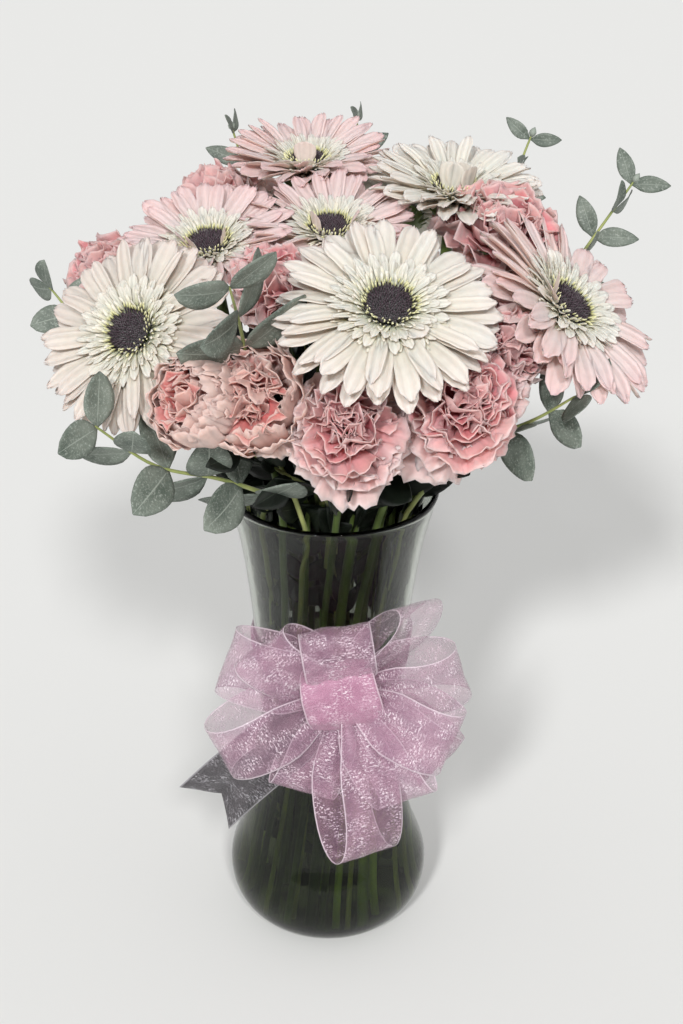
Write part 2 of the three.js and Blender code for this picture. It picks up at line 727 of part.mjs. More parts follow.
// Ribbon run along a flat path in the plane of `ahead` and `forward`, its width across them
// A notch pulls the middle of its end back
function ribbonStrip({ ahead, forward, stations, notch = 0 }) {
  const across = new THREE.Vector3().crossVectors(ahead, forward);
  const last = stations.length - 1;
  const rows = stations.map(({ x, y, half }, i) => {
    const [a, b] = [stations[Math.max(i - 1, 0)], stations[Math.min(i + 1, last)]];
    const along = new THREE.Vector2(b.x - a.x, b.y - a.y).normalize();
    const lift = forward.clone().multiplyScalar(along.x).addScaledVector(ahead, -along.y);
    const corner = (back, w, side) =>
      knotCentre
        .clone()
        .addScaledVector(ahead, x - back)
        .addScaledVector(forward, y)
        .addScaledVector(across, w)
        .addScaledVector(lift, (side * ribbon.thickness) / 2);
    const [right, left] = [-half, half];
    const [rightEdge, leftEdge] = [right, left].map((w) => [corner(0, w, 1), corner(0, w, -1)]);
    if (!notch) return [rightEdge[1], rightEdge[0], ...leftEdge];
    const back = i === last ? notch : 0;
    return [corner(back, 0, 1), ...leftEdge, corner(back, 0, -1), rightEdge[1], rightEdge[0]];
  });
  return solidOf(loft(rows));
}

// The knot lies against the band round the neck
const knotFront = outerRadius(ribbon.knotHeight) + 2 * gap + ribbon.bandThickness + ribbon.knotSize[1];
const knotCentre = new THREE.Vector3(0, -knotFront, ribbon.knotHeight);
knotCentre.applyAxisAngle(upwards, ribbon.knotAside);

function bowAxes(turn, lean) {
  const [a, l] = [turn, lean].map(THREE.MathUtils.degToRad);
  const ahead = new THREE.Vector3(Math.cos(a) * Math.cos(l), -Math.sin(l), Math.sin(a) * Math.cos(l));
  const forward = new THREE.Vector3(0, -1, 0).addScaledVector(ahead, ahead.y).normalize();
  return { ahead, forward };
}

const opened = (share, from, to) => from + (to - from) * THREE.MathUtils.smoothstep(share, 0, 0.62);

function bowLoop({ turn, length, belly, lean }) {
  const stations = [];
  for (let i = 0; i <= 6; i++) {
    const u = (Math.PI * i) / 3;
    const x = (length * (1 - Math.cos(u))) / 2;
    const half = opened(x / length, ribbon.pinch, ribbon.width) / 2;
    stations.push({ x, y: 1.3 * belly * Math.sin(u) * Math.sin(u / 2), half });
  }
  return ribbonStrip({ ...bowAxes(turn, lean), stations });
}

function bowTail({ turn, length, lean }) {
  const stations = [0, 0.3, 0.65, 1].map((share) => ({
    x: share * length,
    y: -3 * Math.sin(share * Math.PI),
    half: opened(share * 1.4, ribbon.pinch, ribbon.width) / 2,
  }));
  return ribbonStrip({ ...bowAxes(turn, lean), stations, notch: ribbon.width * 0.4 });
}

function bowSolid() {
  const knot = new THREE.SphereGeometry(1, 8, 6).scale(...ribbon.knotSize).rotateY(-ribbon.knotTurn);
  knot.translate(...knotCentre);
  return fused([solidOf(knot), ...bowLoops.map(bowLoop), ...bowTails.map(bowTail)]);
}

function neckBandGeometry() {
  const { bandLow: low, bandHigh: high, bandThickness } = ribbon;
  const [inLow, inHigh] = [outerRadius(low) + gap, outerRadius(high) + gap];
  const [outLow, outHigh] = [inLow + bandThickness, inHigh + bandThickness];
  return latheOf([[inLow, low], [outLow, low], [outHigh, high], [inHigh, high], [inLow, low]]);
}

// Puts the parts together
const bouquet = new THREE.Group();

function addMesh(name, geometry, look, parent = bouquet) {
  const mesh = new THREE.Mesh(geometry, look);
  mesh.name = name;
  parent.add(mesh);
  return mesh;
}

const upright = (geometry) => geometry.rotateX(Math.PI / 2);
const vase = solidOf(upright(vaseGeometry()));
addMesh("vase", geometryOf(vase), materials.glass);
stand("vase", vase);
const band = solidOf(upright(neckBandGeometry()));
addMesh("neck_band", geometryOf(band), materials.organza);
stand("neck_band", band);
const bow = bowSolid();
addMesh("bow", geometryOf(bow), materials.organza);
stand("bow", bow);

const targets = [...gerberas, ...carnations].map((bloom) => bloom.at.slice(0, 2));
targets.push(...[...eucalyptus, ...darkFoliage].map((sprig) => sprig.route.at(-1).slice(0, 2)));
const places = waistPlaces(targets);

// Every hub, eye and stem stands before any petal or leaf is bent round it
const gerberaHeads = gerberas.map((bloom) => {
  const frame = bloomFrame(bloom);
  const eye = gerberaEye(bloom, frame);
  stand(`gerbera_${bloom.name}_eye`, eye);
  return { bloom, frame, eye, rays: gerberaRays(bloom, frame) };
});
const carnationHeads = carnations.map((bloom) => {
  const frame = bloomFrame(bloom);
  return { bloom, frame, petals: carnationPetals(bloom, frame) };
});
for (const head of gerberaHeads) {
  const place = places.shift();
  const { bloom, frame } = head;
  const stemWith = (sway) => gerberaStem(bloom, place, frame, sway);
  head.stem = swayedClear(`gerbera_${bloom.name}_stem`, stemWith);
}
for (const head of carnationHeads) {
  const place = places.shift();
  const { bloom, frame } = head;
  const stemWith = (sway) => carnationStem(bloom, place, frame, sway);
  head.stem = swayedClear(`carnation_${bloom.name}_stem`, stemWith);
}
const sprigsOf = (list, name, kind, look) =>
  list.map((sprig) => ({ sprig, node: `${name}_${sprig.name}`, kind, look: materials[look] }));
const sprigs = [
  ...sprigsOf(eucalyptus, "eucalyptus", leafy.eucalyptus, "eucalyptus"),
  ...sprigsOf(darkFoliage, "foliage", leafy.dark, "dark"),
];
for (const item of sprigs) {
  const place = places.shift();
  const [first, ...others] = item.sprig.route.map((point) => new THREE.Vector3(...point));
  const stemWith = (sway) => stemAlong(place, [first.clone().add(sway), ...others], item.kind);
  item.stem = swayedClear(item.node, stemWith);
}

// A bloom's meshes hang in a group that stands and turns as the bloom does
function addBloom(name, frame, solids) {
  const group = new THREE.Group();
  group.position.copy(frame.position);
  group.quaternion.copy(frame.quaternion);
  const back = frame.matrix.clone().invert();
  for (const [part, solid, look] of solids) {
    addMesh(`${name}_${part}`, geometryOf(solid).applyMatrix4(back), look, group);
  }
  bouquet.add(group);
}

// Carnations that lie over a gerbera's rays get their petals first, and the rays bend round them
for (const head of carnationHeads) if (head.bloom.over) head.solid = head.petals();
for (const head of gerberaHeads) head.solid = head.rays();
for (const head of carnationHeads) head.solid ??= head.petals();

const paleGerberas = ["front", "left", "right_rear", "back"];
for (const { bloom, frame, stem, eye, solid } of gerberaHeads) {
  const look = paleGerberas.includes(bloom.name) ? materials.whiteRays : materials.pinkRays;
  addBloom(`gerbera_${bloom.name}`, frame, [["rays", solid, look], ["eye", eye, materials.eye]]);
  addMesh(`gerbera_${bloom.name}_stem`, geometryOf(stem.solid), materials.stem);
}
for (const { bloom, frame, stem, solid } of carnationHeads) {
  const look = bloom.open < 0.8 ? materials.palePetals : materials.pinkPetals;
  addBloom(`carnation_${bloom.name}`, frame, [["petals", solid, look]]);
  addMesh(`carnation_${bloom.name}_stem`, geometryOf(stem.solid), materials.stem);
}
for (const { sprig, node, kind, look, stem } of sprigs) {
  const solid = fused([stem.solid, ...foliageOf({ node, sprig, kind })]);
  addMesh(node, geometryOf(solid), look);
}

const holes = [...gerberaHeads, ...carnationHeads, ...sprigs].map(({ stem }) => stem.hole);
const water = fused([solidOf(upright(waterGeometry())).subtract(Manifold.union(holes))]);
addMesh("water", geometryOf(water), materials.water);

export default bouquet;
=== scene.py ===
# Gerberas, carnations and eucalyptus standing in water in a glass vase, with an organza bow at its neck
import json
import math
import random

import bpy
from mathutils import Matrix, Vector, noise

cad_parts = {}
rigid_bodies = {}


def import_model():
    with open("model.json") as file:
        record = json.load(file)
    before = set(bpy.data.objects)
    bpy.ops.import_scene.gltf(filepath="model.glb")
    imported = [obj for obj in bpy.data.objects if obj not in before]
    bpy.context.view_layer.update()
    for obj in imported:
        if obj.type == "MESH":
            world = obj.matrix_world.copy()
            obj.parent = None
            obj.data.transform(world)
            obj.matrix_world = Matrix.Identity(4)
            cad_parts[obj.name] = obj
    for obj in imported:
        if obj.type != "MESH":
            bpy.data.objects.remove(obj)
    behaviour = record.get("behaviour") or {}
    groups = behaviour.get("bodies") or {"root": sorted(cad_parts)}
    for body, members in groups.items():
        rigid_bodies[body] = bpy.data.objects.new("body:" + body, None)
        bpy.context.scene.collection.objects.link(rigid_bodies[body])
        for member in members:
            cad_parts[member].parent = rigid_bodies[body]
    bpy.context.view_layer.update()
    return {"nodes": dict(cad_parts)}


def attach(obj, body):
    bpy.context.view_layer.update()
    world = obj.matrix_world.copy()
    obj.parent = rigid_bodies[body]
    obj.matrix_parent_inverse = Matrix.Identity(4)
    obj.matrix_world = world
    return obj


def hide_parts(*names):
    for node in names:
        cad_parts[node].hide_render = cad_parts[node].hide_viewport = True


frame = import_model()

mm = 0.001
up = Vector((0, 0, 1))
scene = bpy.context.scene


def linear(hexColour):
    parts = [int(hexColour[i : i + 2], 16) / 255 for i in (1, 3, 5)]
    return (*(c / 12.92 if c <= 0.04045 else ((c + 0.055) / 1.055) ** 2.4 for c in parts), 1)


# Adds a node; an input that is given as a node or a socket is linked, and anything else is its value
def addNode(tree, kind, inputs=None, **settings):
    made = tree.nodes.new(kind)
    for name, value in settings.items():
        setattr(made, name, value)
    for key, value in (inputs or {}).items():
        if isinstance(value, bpy.types.Node):
            value = value.outputs[0]
        if isinstance(value, bpy.types.NodeSocket):
            tree.links.new(value, made.inputs[key])
        else:
            made.inputs[key].default_value = value
    return made


# Finishes

def newFinish(name, sockets):
    finish = bpy.data.materials.new(name)
    finish.use_nodes = True
    shader = finish.node_tree.nodes["Principled BSDF"]
    for socket, value in sockets.items():
        shader.inputs[socket].default_value = value
    return finish, finish.node_tree, shader


def rampOf(tree, factor, stops):
    ramp = addNode(tree, "ShaderNodeValToRGB", {0: factor})
    elements = ramp.color_ramp.elements
    while len(elements) < len(stops):
        elements.new(0.5)
    for element, (place, colour) in zip(elements, stops):
        element.position = place
        element.color = linear(colour)
    return ramp.outputs[0]


# Living petal tissue: matte with a faint sheen, lit through, grooved along its length, with painted shade darkening
# its colour along each groove
# `blade` runs from the root to the tip, `deep` is what the most coloured petals are, `under` what their backs are
def petalFinish(name, blade, deep, under, grooves, depth, mottle=0.12):
    finish, tree, shader = newFinish(name, {
        "Roughness": 0.62, "IOR": 1.4, "Specular IOR Level": 0.3, "Sheen Weight": 0.08,
        "Subsurface Weight": 0.5, "Subsurface Scale": 0.004, "Subsurface Radius": (1.0, 0.7, 0.6),
    })
    uv = addNode(tree, "ShaderNodeUVMap", uv_map="UVMap")
    place = addNode(tree, "ShaderNodeSeparateXYZ", {0: uv})
    tone = addNode(tree, "ShaderNodeAttribute", attribute_name="petalTone")
    light = rampOf(tree, place.outputs[1], blade)
    strong = rampOf(tree, place.outputs[1], deep)
    toned = addNode(tree, "ShaderNodeMix", {0: tone.outputs[2], 6: light, 7: strong}, data_type="RGBA")
    across = addNode(tree, "ShaderNodeMath", {0: place, 1: 2 * math.pi * grooves}, operation="MULTIPLY")
    groove = addNode(tree, "ShaderNodeMath", {0: across}, operation="COSINE")
    coords = addNode(tree, "ShaderNodeTexCoord")
    cloudy = addNode(tree, "ShaderNodeTexNoise", {"Vector": coords.outputs["Object"], "Scale": 260.0, "Detail": 4.0})
    shade = addNode(tree, "ShaderNodeMapRange", {0: cloudy, 1: 0.3, 2: 0.7, 3: 1 - mottle, 4: 1 + mottle / 2})
    # Painted shade: the colour darkens to 0.88 along the middle of each groove
    veinsAndGrooveShade = addNode(tree, "ShaderNodeMapRange", {0: groove, 1: -1.0, 2: -0.55, 3: 0.88, 4: 1.0})
    both = addNode(tree, "ShaderNodeMath", {0: shade, 1: veinsAndGrooveShade}, operation="MULTIPLY")
    back = addNode(tree, "ShaderNodeMath", {0: place, 1: 1.001}, operation="GREATER_THAN")
    backShare = addNode(tree, "ShaderNodeMath", {0: back, 1: 0.7}, operation="MULTIPLY")
    sided = addNode(tree, "ShaderNodeMix", {0: backShare, 6: toned.outputs[2], 7: linear(under)}, data_type="RGBA")
    shaded = addNode(tree, "ShaderNodeVectorMath", {0: sided.outputs[2], "Scale": both}, operation="SCALE")
    tree.links.new(shaded.outputs[0], shader.inputs["Base Color"])
    height = addNode(tree, "ShaderNodeMath", {0: groove, 1: cloudy}, operation="ADD")
    bump = addNode(tree, "ShaderNodeBump", {"Strength": 0.5, "Distance": depth, "Height": height})
    tree.links.new(bump.outputs[0], shader.inputs["Normal"])
    return finish


# Dry velvety florets of the disc, nearly black at the root and dusky purple at the tip
def velvetFinish(name, stops):
    finish, tree, shader = newFinish(name, {"Roughness": 0.85, "Specular IOR Level": 0.2, "Sheen Weight": 0.3})
    uv = addNode(tree, "ShaderNodeUVMap", uv_map="UVMap")
    place = addNode(tree, "ShaderNodeSeparateXYZ", {0: uv})
    tree.links.new(rampOf(tree, place.outputs[1], stops), shader.inputs["Base Color"])
    return finish


# Fresh stems: satin green that pales in streaks, with a fine nap; lower in the vase they are painted brighter in
# patches, painted light in place of the sunlight that would reach them through the glass
def stemFinish(name, dark, pale, underwaterLight):
    finish, tree, shader = newFinish(name, {"Roughness": 0.5, "IOR": 1.42, "Sheen Weight": 0.15})
    coords = addNode(tree, "ShaderNodeTexCoord")
    place = addNode(tree, "ShaderNodeSeparateXYZ", {0: coords.outputs["Object"]})
    underwaterLightShare = addNode(tree, "ShaderNodeMapRange", {0: place.outputs[2], 1: 0.06, 2: 0.24, 3: 1.0, 4: 0.0})
    stretched = addNode(tree, "ShaderNodeMapping", {0: coords.outputs["Object"], 3: (1.0, 1.0, 0.12)})
    streaks = addNode(tree, "ShaderNodeTexNoise", {"Vector": stretched, "Scale": 90.0, "Detail": 5.0})
    dry = rampOf(tree, streaks, [(0.3, dark), (0.7, pale)])
    apart = addNode(tree, "ShaderNodeTexNoise", {"Vector": stretched, "Scale": 34.0, "Detail": 1.0})
    # Painted light: the lightest patches, low in the vase, are brighter than the stems' own green
    patches = rampOf(tree, apart, [(0.42, dark), (0.52, pale), (0.64, underwaterLight)])
    colour = addNode(tree, "ShaderNodeMix", {0: underwaterLightShare, 6: dry, 7: patches}, data_type="RGBA")
    tree.links.new(colour.outputs[2], shader.inputs["Base Color"])
    nap = addNode(tree, "ShaderNodeTexNoise", {"Vector": coords.outputs["Object"], "Scale": 1400.0, "Detail": 2.0})
    bump = addNode(tree, "ShaderNodeBump", {"Strength": 0.3, "Distance": 0.3 * mm, "Height": nap})
    tree.links.new(bump.outputs[0], shader.inputs["Normal"])
    return finish


# Leaves: a raised midrib with side veins, and on eucalyptus a chalky wax that gathers in specks and patches
def leafFinish(name, dark, pale, rib, wax, waxShare, gloss):
    finish, tree, shader = newFinish(name, {"Roughness": gloss, "IOR": 1.42, "Specular IOR Level": 0.4})
    uv = addNode(tree, "ShaderNodeUVMap", uv_map="UVMap")
    place = addNode(tree, "ShaderNodeSeparateXYZ", {0: uv})
    coords = addNode(tree, "ShaderNodeTexCoord")
    cloudy = addNode(tree, "ShaderNodeTexNoise", {"Vector": coords.outputs["Object"], "Scale": 70.0, "Detail": 5.0})
    body = rampOf(tree, cloudy, [(0.32, dark), (0.68, pale)])
    specks = addNode(tree, "ShaderNodeTexNoise", {
        "Vector": coords.outputs["Object"], "Scale": 900.0, "Detail": 6.0, "Roughness": 0.7,
    })
    speckled = addNode(tree, "ShaderNodeMapRange", {0: specks, 1: 0.52, 2: 0.7, 3: 0.0, 4: waxShare})
    waxed = addNode(tree, "ShaderNodeMix", {0: speckled, 6: body, 7: linear(wax)}, data_type="RGBA")
    centred = addNode(tree, "ShaderNodeMath", {0: place, 1: 0.5}, operation="SUBTRACT")
    aside = addNode(tree, "ShaderNodeMath", {0: centred}, operation="ABSOLUTE")
    midrib = addNode(tree, "ShaderNodeMapRange", {0: aside, 1: 0.006, 2: 0.026, 3: 0.9, 4: 0.0})
    slant = addNode(tree, "ShaderNodeMath", {0: aside, 1: -0.9}, operation="MULTIPLY")
    along = addNode(tree, "ShaderNodeMath", {0: place.outputs[1], 1: slant}, operation="ADD")
    rank = addNode(tree, "ShaderNodeMath", {0: along, 1: 13.0}, operation="MULTIPLY")
    saw = addNode(tree, "ShaderNodeMath", {0: rank, 1: 1.0}, operation="PINGPONG")
    vein = addNode(tree, "ShaderNodeMapRange", {0: saw, 1: 0.0, 2: 0.12, 3: 0.22, 4: 0.0})
    lines = addNode(tree, "ShaderNodeMath", {0: midrib, 1: vein}, operation="MAXIMUM")
    veinsAndGrooveShade = addNode(tree, "ShaderNodeMix", {0: lines, 6: waxed.outputs[2], 7: linear(rib)}, data_type="RGBA")
    tree.links.new(veinsAndGrooveShade.outputs[2], shader.inputs["Base Color"])
    relief = addNode(tree, "ShaderNodeMath", {0: lines, 1: specks}, operation="ADD")
    bump = addNode(tree, "ShaderNodeBump", {"Strength": 0.45, "Distance": 0.25 * mm, "Height": relief})
    tree.links.new(bump.outputs[0], shader.inputs["Normal"])
    return finish


# Sheer organza: hair-fine threads, a satin edge over a wire, and a silver thread whose sparkle is painted: bright
# dashes across it, a painted highlight gathered in patches
# The ribbon's own map is in millimetres, so `ribbonWidth` finds the edges
def organzaFinish(name, thread, deep, silver, sheer, ribbonWidth):
    finish, tree, shader = newFinish(name, {"Roughness": 0.38, "Sheen Weight": 0.25, "Alpha": sheer})
    uv = addNode(tree, "ShaderNodeUVMap", uv_map="UVMap")
    place = addNode(tree, "ShaderNodeSeparateXYZ", {0: uv})
    soft = addNode(tree, "ShaderNodeTexNoise", {"Vector": uv, "Scale": 0.06, "Detail": 2.0})
    body = rampOf(tree, soft, [(0.35, deep), (0.65, thread)])
    dashes = addNode(tree, "ShaderNodeMapping", {0: uv, 3: (0.26, 1.5, 1.0)})
    streaks = addNode(tree, "ShaderNodeTexNoise", {"Vector": dashes, "Scale": 1.0, "Detail": 3.0})
    coarse = addNode(tree, "ShaderNodeMapRange", {0: streaks, 1: 0.56, 2: 0.63, 3: 0.0, 4: 0.9})
    hairs = addNode(tree, "ShaderNodeMapping", {0: uv, 3: (0.35, 2.2, 1.0)})
    fine = addNode(tree, "ShaderNodeTexNoise", {"Vector": hairs, "Scale": 1.0, "Detail": 2.0})
    fineGlints = addNode(tree, "ShaderNodeMapRange", {0: fine, 1: 0.5, 2: 0.62, 3: 0.0, 4: 0.75})
    # Painted highlight: the glints are the thread's sparkle painted into the colour, and the cloth is more opaque
    # where they fall
    glints = addNode(tree, "ShaderNodeMath", {0: coarse, 1: fineGlints}, operation="MAXIMUM")
    cells = addNode(tree, "ShaderNodeTexNoise", {"Vector": uv, "Scale": 0.9, "Detail": 1.0})
    broken = addNode(tree, "ShaderNodeMapRange", {0: cells, 1: 0.45, 2: 0.55, 3: 0.1, 4: 1.0})
    patches = addNode(tree, "ShaderNodeTexNoise", {"Vector": uv, "Scale": 0.09, "Detail": 2.0})
    gathered = addNode(tree, "ShaderNodeMapRange", {0: patches, 1: 0.42, 2: 0.58, 3: 0.08, 4: 1.0})
    patchy = addNode(tree, "ShaderNodeMath", {0: broken, 1: gathered}, operation="MULTIPLY")
    sparkle = addNode(tree, "ShaderNodeMath", {0: glints, 1: patchy}, operation="MULTIPLY")
    middle = addNode(tree, "ShaderNodeMath", {0: place, 1: ribbonWidth / 2}, operation="SUBTRACT")
    aside = addNode(tree, "ShaderNodeMath", {0: middle}, operation="ABSOLUTE")
    edge = addNode(tree, "ShaderNodeMapRange", {
        0: aside, 1: ribbonWidth / 2 - 0.9, 2: ribbonWidth / 2 - 0.6, 3: 0.0, 4: 0.55,
    })
    bright = addNode(tree, "ShaderNodeMath", {0: sparkle, 1: edge}, operation="MAXIMUM")
    colour = addNode(tree, "ShaderNodeMix", {0: bright, 6: body, 7: linear(silver)}, data_type="RGBA")
    tree.links.new(colour.outputs[2], shader.inputs["Base Color"])
    dense = addNode(tree, "ShaderNodeMapRange", {0: bright, 3: sheer, 4: 0.9})
    tree.links.new(dense.outputs[0], shader.inputs["Alpha"])
    threads = addNode(tree, "ShaderNodeTexWave", {"Vector": uv, "Scale": 0.5}, bands_direction="Y")
    bump = addNode(tree, "ShaderNodeBump", {"Strength": 0.3, "Distance": 0.2 * mm, "Height": threads.outputs[1]})
    tree.links.new(bump.outputs[0], shader.inputs["Normal"])
    return finish


# Clear pressed glass with a smoky tint, and the faintly green water of a standing bouquet
# `glare` tones their mirror-like shine down, because the even white sky would veil what stands inside
def clearFinish(name, colour, ior, glare):
    finish, tree, shader = newFinish(name, {
        "Base Color": linear(colour), "Roughness": 0.0, "IOR": ior, "Transmission Weight": 1.0,
        "Specular Tint": (glare, glare, glare, 1.0),
    })
    coords = addNode(tree, "ShaderNodeTexCoord")
    waves = addNode(tree, "ShaderNodeTexNoise", {"Vector": coords.outputs["Object"], "Scale": 14.0, "Detail": 1.0})
    bump = addNode(tree, "ShaderNodeBump", {"Strength": 0.08, "Distance": 2 * mm, "Height": waves})
    tree.links.new(bump.outputs[0], shader.inputs["Normal"])
    return finish


finishes = {
    "glass": clearFinish("smokyPressedGlass", "#b9beb6", 1.5, 0.5),
    "water": clearFinish("standingWater", "#b1bc92", 1.33, 0.4),
    "creamRays": petalFinish(
        "creamGerberaPetal",
        [(0.0, "#ddd7b4"), (0.25, "#e9dfce"), (0.75, "#ebe0d6"), (1.0, "#e9d9d0")],
        [(0.0, "#c6c09b"), (0.35, "#d4c4b8"), (0.8, "#d5c2b9"), (1.0, "#d2b8b0")],
        "#dacdbd", grooves=2.0, depth=0.4 * mm, mottle=0.05,
    ),
    # The inner rays and the frill are paler partly as the bloom's own pale halo and partly as painted light that
    # lifts the shade they cast on each other
    "innerRays": petalFinish(
        "paleInnerPetal",
        [(0.0, "#dad9ab"), (0.3, "#eee7d5"), (1.0, "#f3eae0")],
        [(0.0, "#cdce99"), (0.3, "#e6dec8"), (1.0, "#ede1d5")],
        "#ebe2d3", grooves=2.0, depth=0.3 * mm, mottle=0.05,
    ),
    "pinkRays": petalFinish(
        "palePinkGerberaPetal",
        [(0.0, "#e2d7b9"), (0.3, "#e9d0ca"), (0.75, "#e9c7c4"), (1.0, "#e3b8b8")],
        [(0.0, "#ddcbb2"), (0.3, "#e7c4c0"), (0.8, "#e2b2b2"), (1.0, "#d9a2a5")],
        "#ead0c2", grooves=2.0, depth=0.4 * mm, mottle=0.06,
    ),
    "frill": petalFinish(
        "frillFloret",
        [(0.0, "#cfcd92"), (0.35, "#ede6cd"), (1.0, "#f7ece1")],
        [(0.0, "#bbbb7c"), (0.5, "#e5dfbe"), (1.0, "#f1e7d3")],
        "#e7dfc4", grooves=1.0, depth=0.1 * mm,
    ),
    # The carnations' deep colours are their hearts' own rose, made more saturated as painted shade: the rosy shade
    # between the petals
    "rosePetals": petalFinish(
        "roseCarnationPetal",
        [(0.0, "#d69396"), (0.45, "#dcadab"), (0.85, "#debfbb"), (1.0, "#e0c7c4")],
        [(0.0, "#c8505e"), (0.5, "#d5747c"), (0.85, "#dc8f92"), (1.0, "#dea8a5")],
        "#dbafab", grooves=4.0, depth=0.25 * mm, mottle=0.1,
    ),
    "salmonPetals": petalFinish(
        "salmonCarnationPetal",
        [(0.0, "#d59b90"), (0.5, "#dcb2a9"), (0.85, "#debfb5"), (1.0, "#e0c5bd")],
        [(0.0, "#c6545b"), (0.5, "#d5706f"), (0.85, "#dc8e88"), (1.0, "#dca39a")],
        "#dcb4a9", grooves=4.0, depth=0.25 * mm, mottle=0.1,
    ),
    "disc": velvetFinish("purpleDiscFloret", [(0.0, "#150d10"), (0.6, "#2d2026"), (1.0, "#574650")]),
    "stamen": velvetFinish("tippedStamen", [(0.0, "#1c1216"), (0.45, "#35272a"), (0.6, "#b9b77c"), (0.9, "#f0ecc4")]),
    "stem": stemFinish("freshGreenStem", "#33451f", "#6b7f3c", "#d8ef78"),
    "twig": stemFinish("yellowGreenTwig", "#75834a", "#a3a865", "#b6bd6c"),
    "eucalyptus": leafFinish("waxyEucalyptusLeaf", "#4f5950", "#7b8379", "#939b91", "#bbc1b9", 0.6, 0.55),
    # Near-black leaves: partly their own dark green, partly painted shade for the shaded band under the blooms
    "shadeDarkLeaf": leafFinish("shadeDarkGlossyLeaf", "#0e120e", "#1c231b", "#2b3428", "#39453b", 0.15, 0.42),
    "organza": organzaFinish("pinkOrganza", "#c79bb1", "#a88098", "#fbf3f8", 0.2, 38.0),
    "wrapOrganza": organzaFinish("doubledOrganza", "#dda3c0", "#cf92b1", "#fbf3f8", 0.36, 42.0),
    # The tail is the same organza painted dark grey: painted shade
    "shadedGreyOrganza": organzaFinish("shadedOrganza", "#3d373c", "#2f2b2f", "#bfbcc1", 0.74, 38.0),
}
print("finishes:", len(finishes))


# Shapes that more than one piece is made of

# A thin closed sheet: spot(u, v) is its middle, with u from -1 to 1 across it and v from 0 to 1 along it
# Its back's map lies one width to the right of its face's
def closedSheet(name, spot, across, along, thickness, mapSize=(1.0, 1.0), backFaces=True):
    grid = [[spot(2 * c / across - 1, r / along) for c in range(across + 1)] for r in range(along + 1)]
    wide = across + 1
    points = []
    for side in (1, -1):
        for r in range(along + 1):
            for c in range(wide):
                ahead = grid[min(r + 1, along)][c] - grid[max(r - 1, 0)][c]
                beside = grid[r][min(c + 1, across)] - grid[r][max(c - 1, 0)]
                rim = r in (0, along) or c in (0, across)
                offset = side * thickness * (0.25 if rim else 0.5)
                points.append(grid[r][c] + ahead.cross(beside).normalized() * offset)
    below = (along + 1) * wide
    faces = []
    for r in range(along):
        for c in range(across):
            a = r * wide + c
            faces.append((a, a + wide, a + wide + 1, a + 1))
            faces.append((below + a + 1, below + a + wide + 1, below + a + wide, below + a))
        a, b = r * wide, r * wide + across
        faces.append((a, below + a, below + a + wide, a + wide))
        faces.append((b + wide, below + b + wide, below + b, b))
    for c in range(across):
        a, b = c, along * wide + c
        faces.append((a + 1, below + a + 1, below + a, a))
        faces.append((b, below + b, below + b + 1, b + 1))
    mesh = bpy.data.meshes.new(name)
    mesh.from_pydata(points, [], faces)
    uvLayer = mesh.uv_layers.new(name="UVMap")
    for loop in mesh.loops:
        r, c = divmod(loop.vertex_index % below, wide)
        aside = c / across + (1 if backFaces and loop.vertex_index >= below else 0)
        uvLayer.data[loop.index].uv = (mapSize[0] * aside, mapSize[1] * r / along)
    mesh.shade_smooth()
    return mesh


def smoothstep(low, high, value):
    share = min(max((value - low) / (high - low), 0.0), 1.0)
    return share * share * (3 - 2 * share)


# Points along a smooth curve through the given ones
def smoothPath(points, steps):
    first, last = 2 * points[0] - points[1], 2 * points[-1] - points[-2]
    through = [first, *points, last]
    path = []
    for a, b, c, d in zip(through, through[1:], through[2:], through[3:]):
        for step in range(steps):
            t = step / steps
            cubic = 2 * b + (c - a) * t + (2 * a - 5 * b + 4 * c - d) * t**2 + (3 * b - a - 3 * c + d) * t**3
            path.append(0.5 * cubic)
    return [*path, points[-1]]


shapeSets = []


# The shapes to pick from for a repeated petal, leaf or floret
def variantsOf(name, meshes):
    variants = bpy.data.collections.new(name)
    for i, mesh in enumerate(meshes):
        variants.objects.link(bpy.data.objects.new(f"{name}{i}", mesh))
    shapeSets.append(variants)
    return variants


# Geometry node trees

def newTree(name, inputs):
    tree = bpy.data.node_groups.new(name, "GeometryNodeTree")
    tree.interface.new_socket("Geometry", in_out="OUTPUT", socket_type="NodeSocketGeometry")
    tree.interface.new_socket("Geometry", in_out="INPUT", socket_type="NodeSocketGeometry")
    for label, kind in inputs.items():
        tree.interface.new_socket(label, in_out="INPUT", socket_type=f"NodeSocket{kind}")
    return tree, addNode(tree, "NodeGroupInput").outputs


# What a tree makes of the given mesh with these inputs, as a plain mesh
def grown(tree, values, mesh=None):
    grower = bpy.data.objects.new("grower", mesh or bpy.data.meshes.new("seed"))
    scene.collection.objects.link(grower)
    modifier = grower.modifiers.new(tree.name, "NODES")
    modifier.node_group = tree
    for socket in tree.interface.items_tree:
        if socket.in_out == "INPUT" and socket.name in values:
            modifier[socket.identifier] = values[socket.name]
    depsgraph = bpy.context.evaluated_depsgraph_get()
    result = bpy.data.meshes.new_from_object(
        grower.evaluated_get(depsgraph), preserve_all_data_layers=True, depsgraph=depsgraph
    )
    bpy.data.objects.remove(grower)
    if result.materials[0] is None:
        result.materials.pop(index=0)
    result.shade_smooth()
    return result


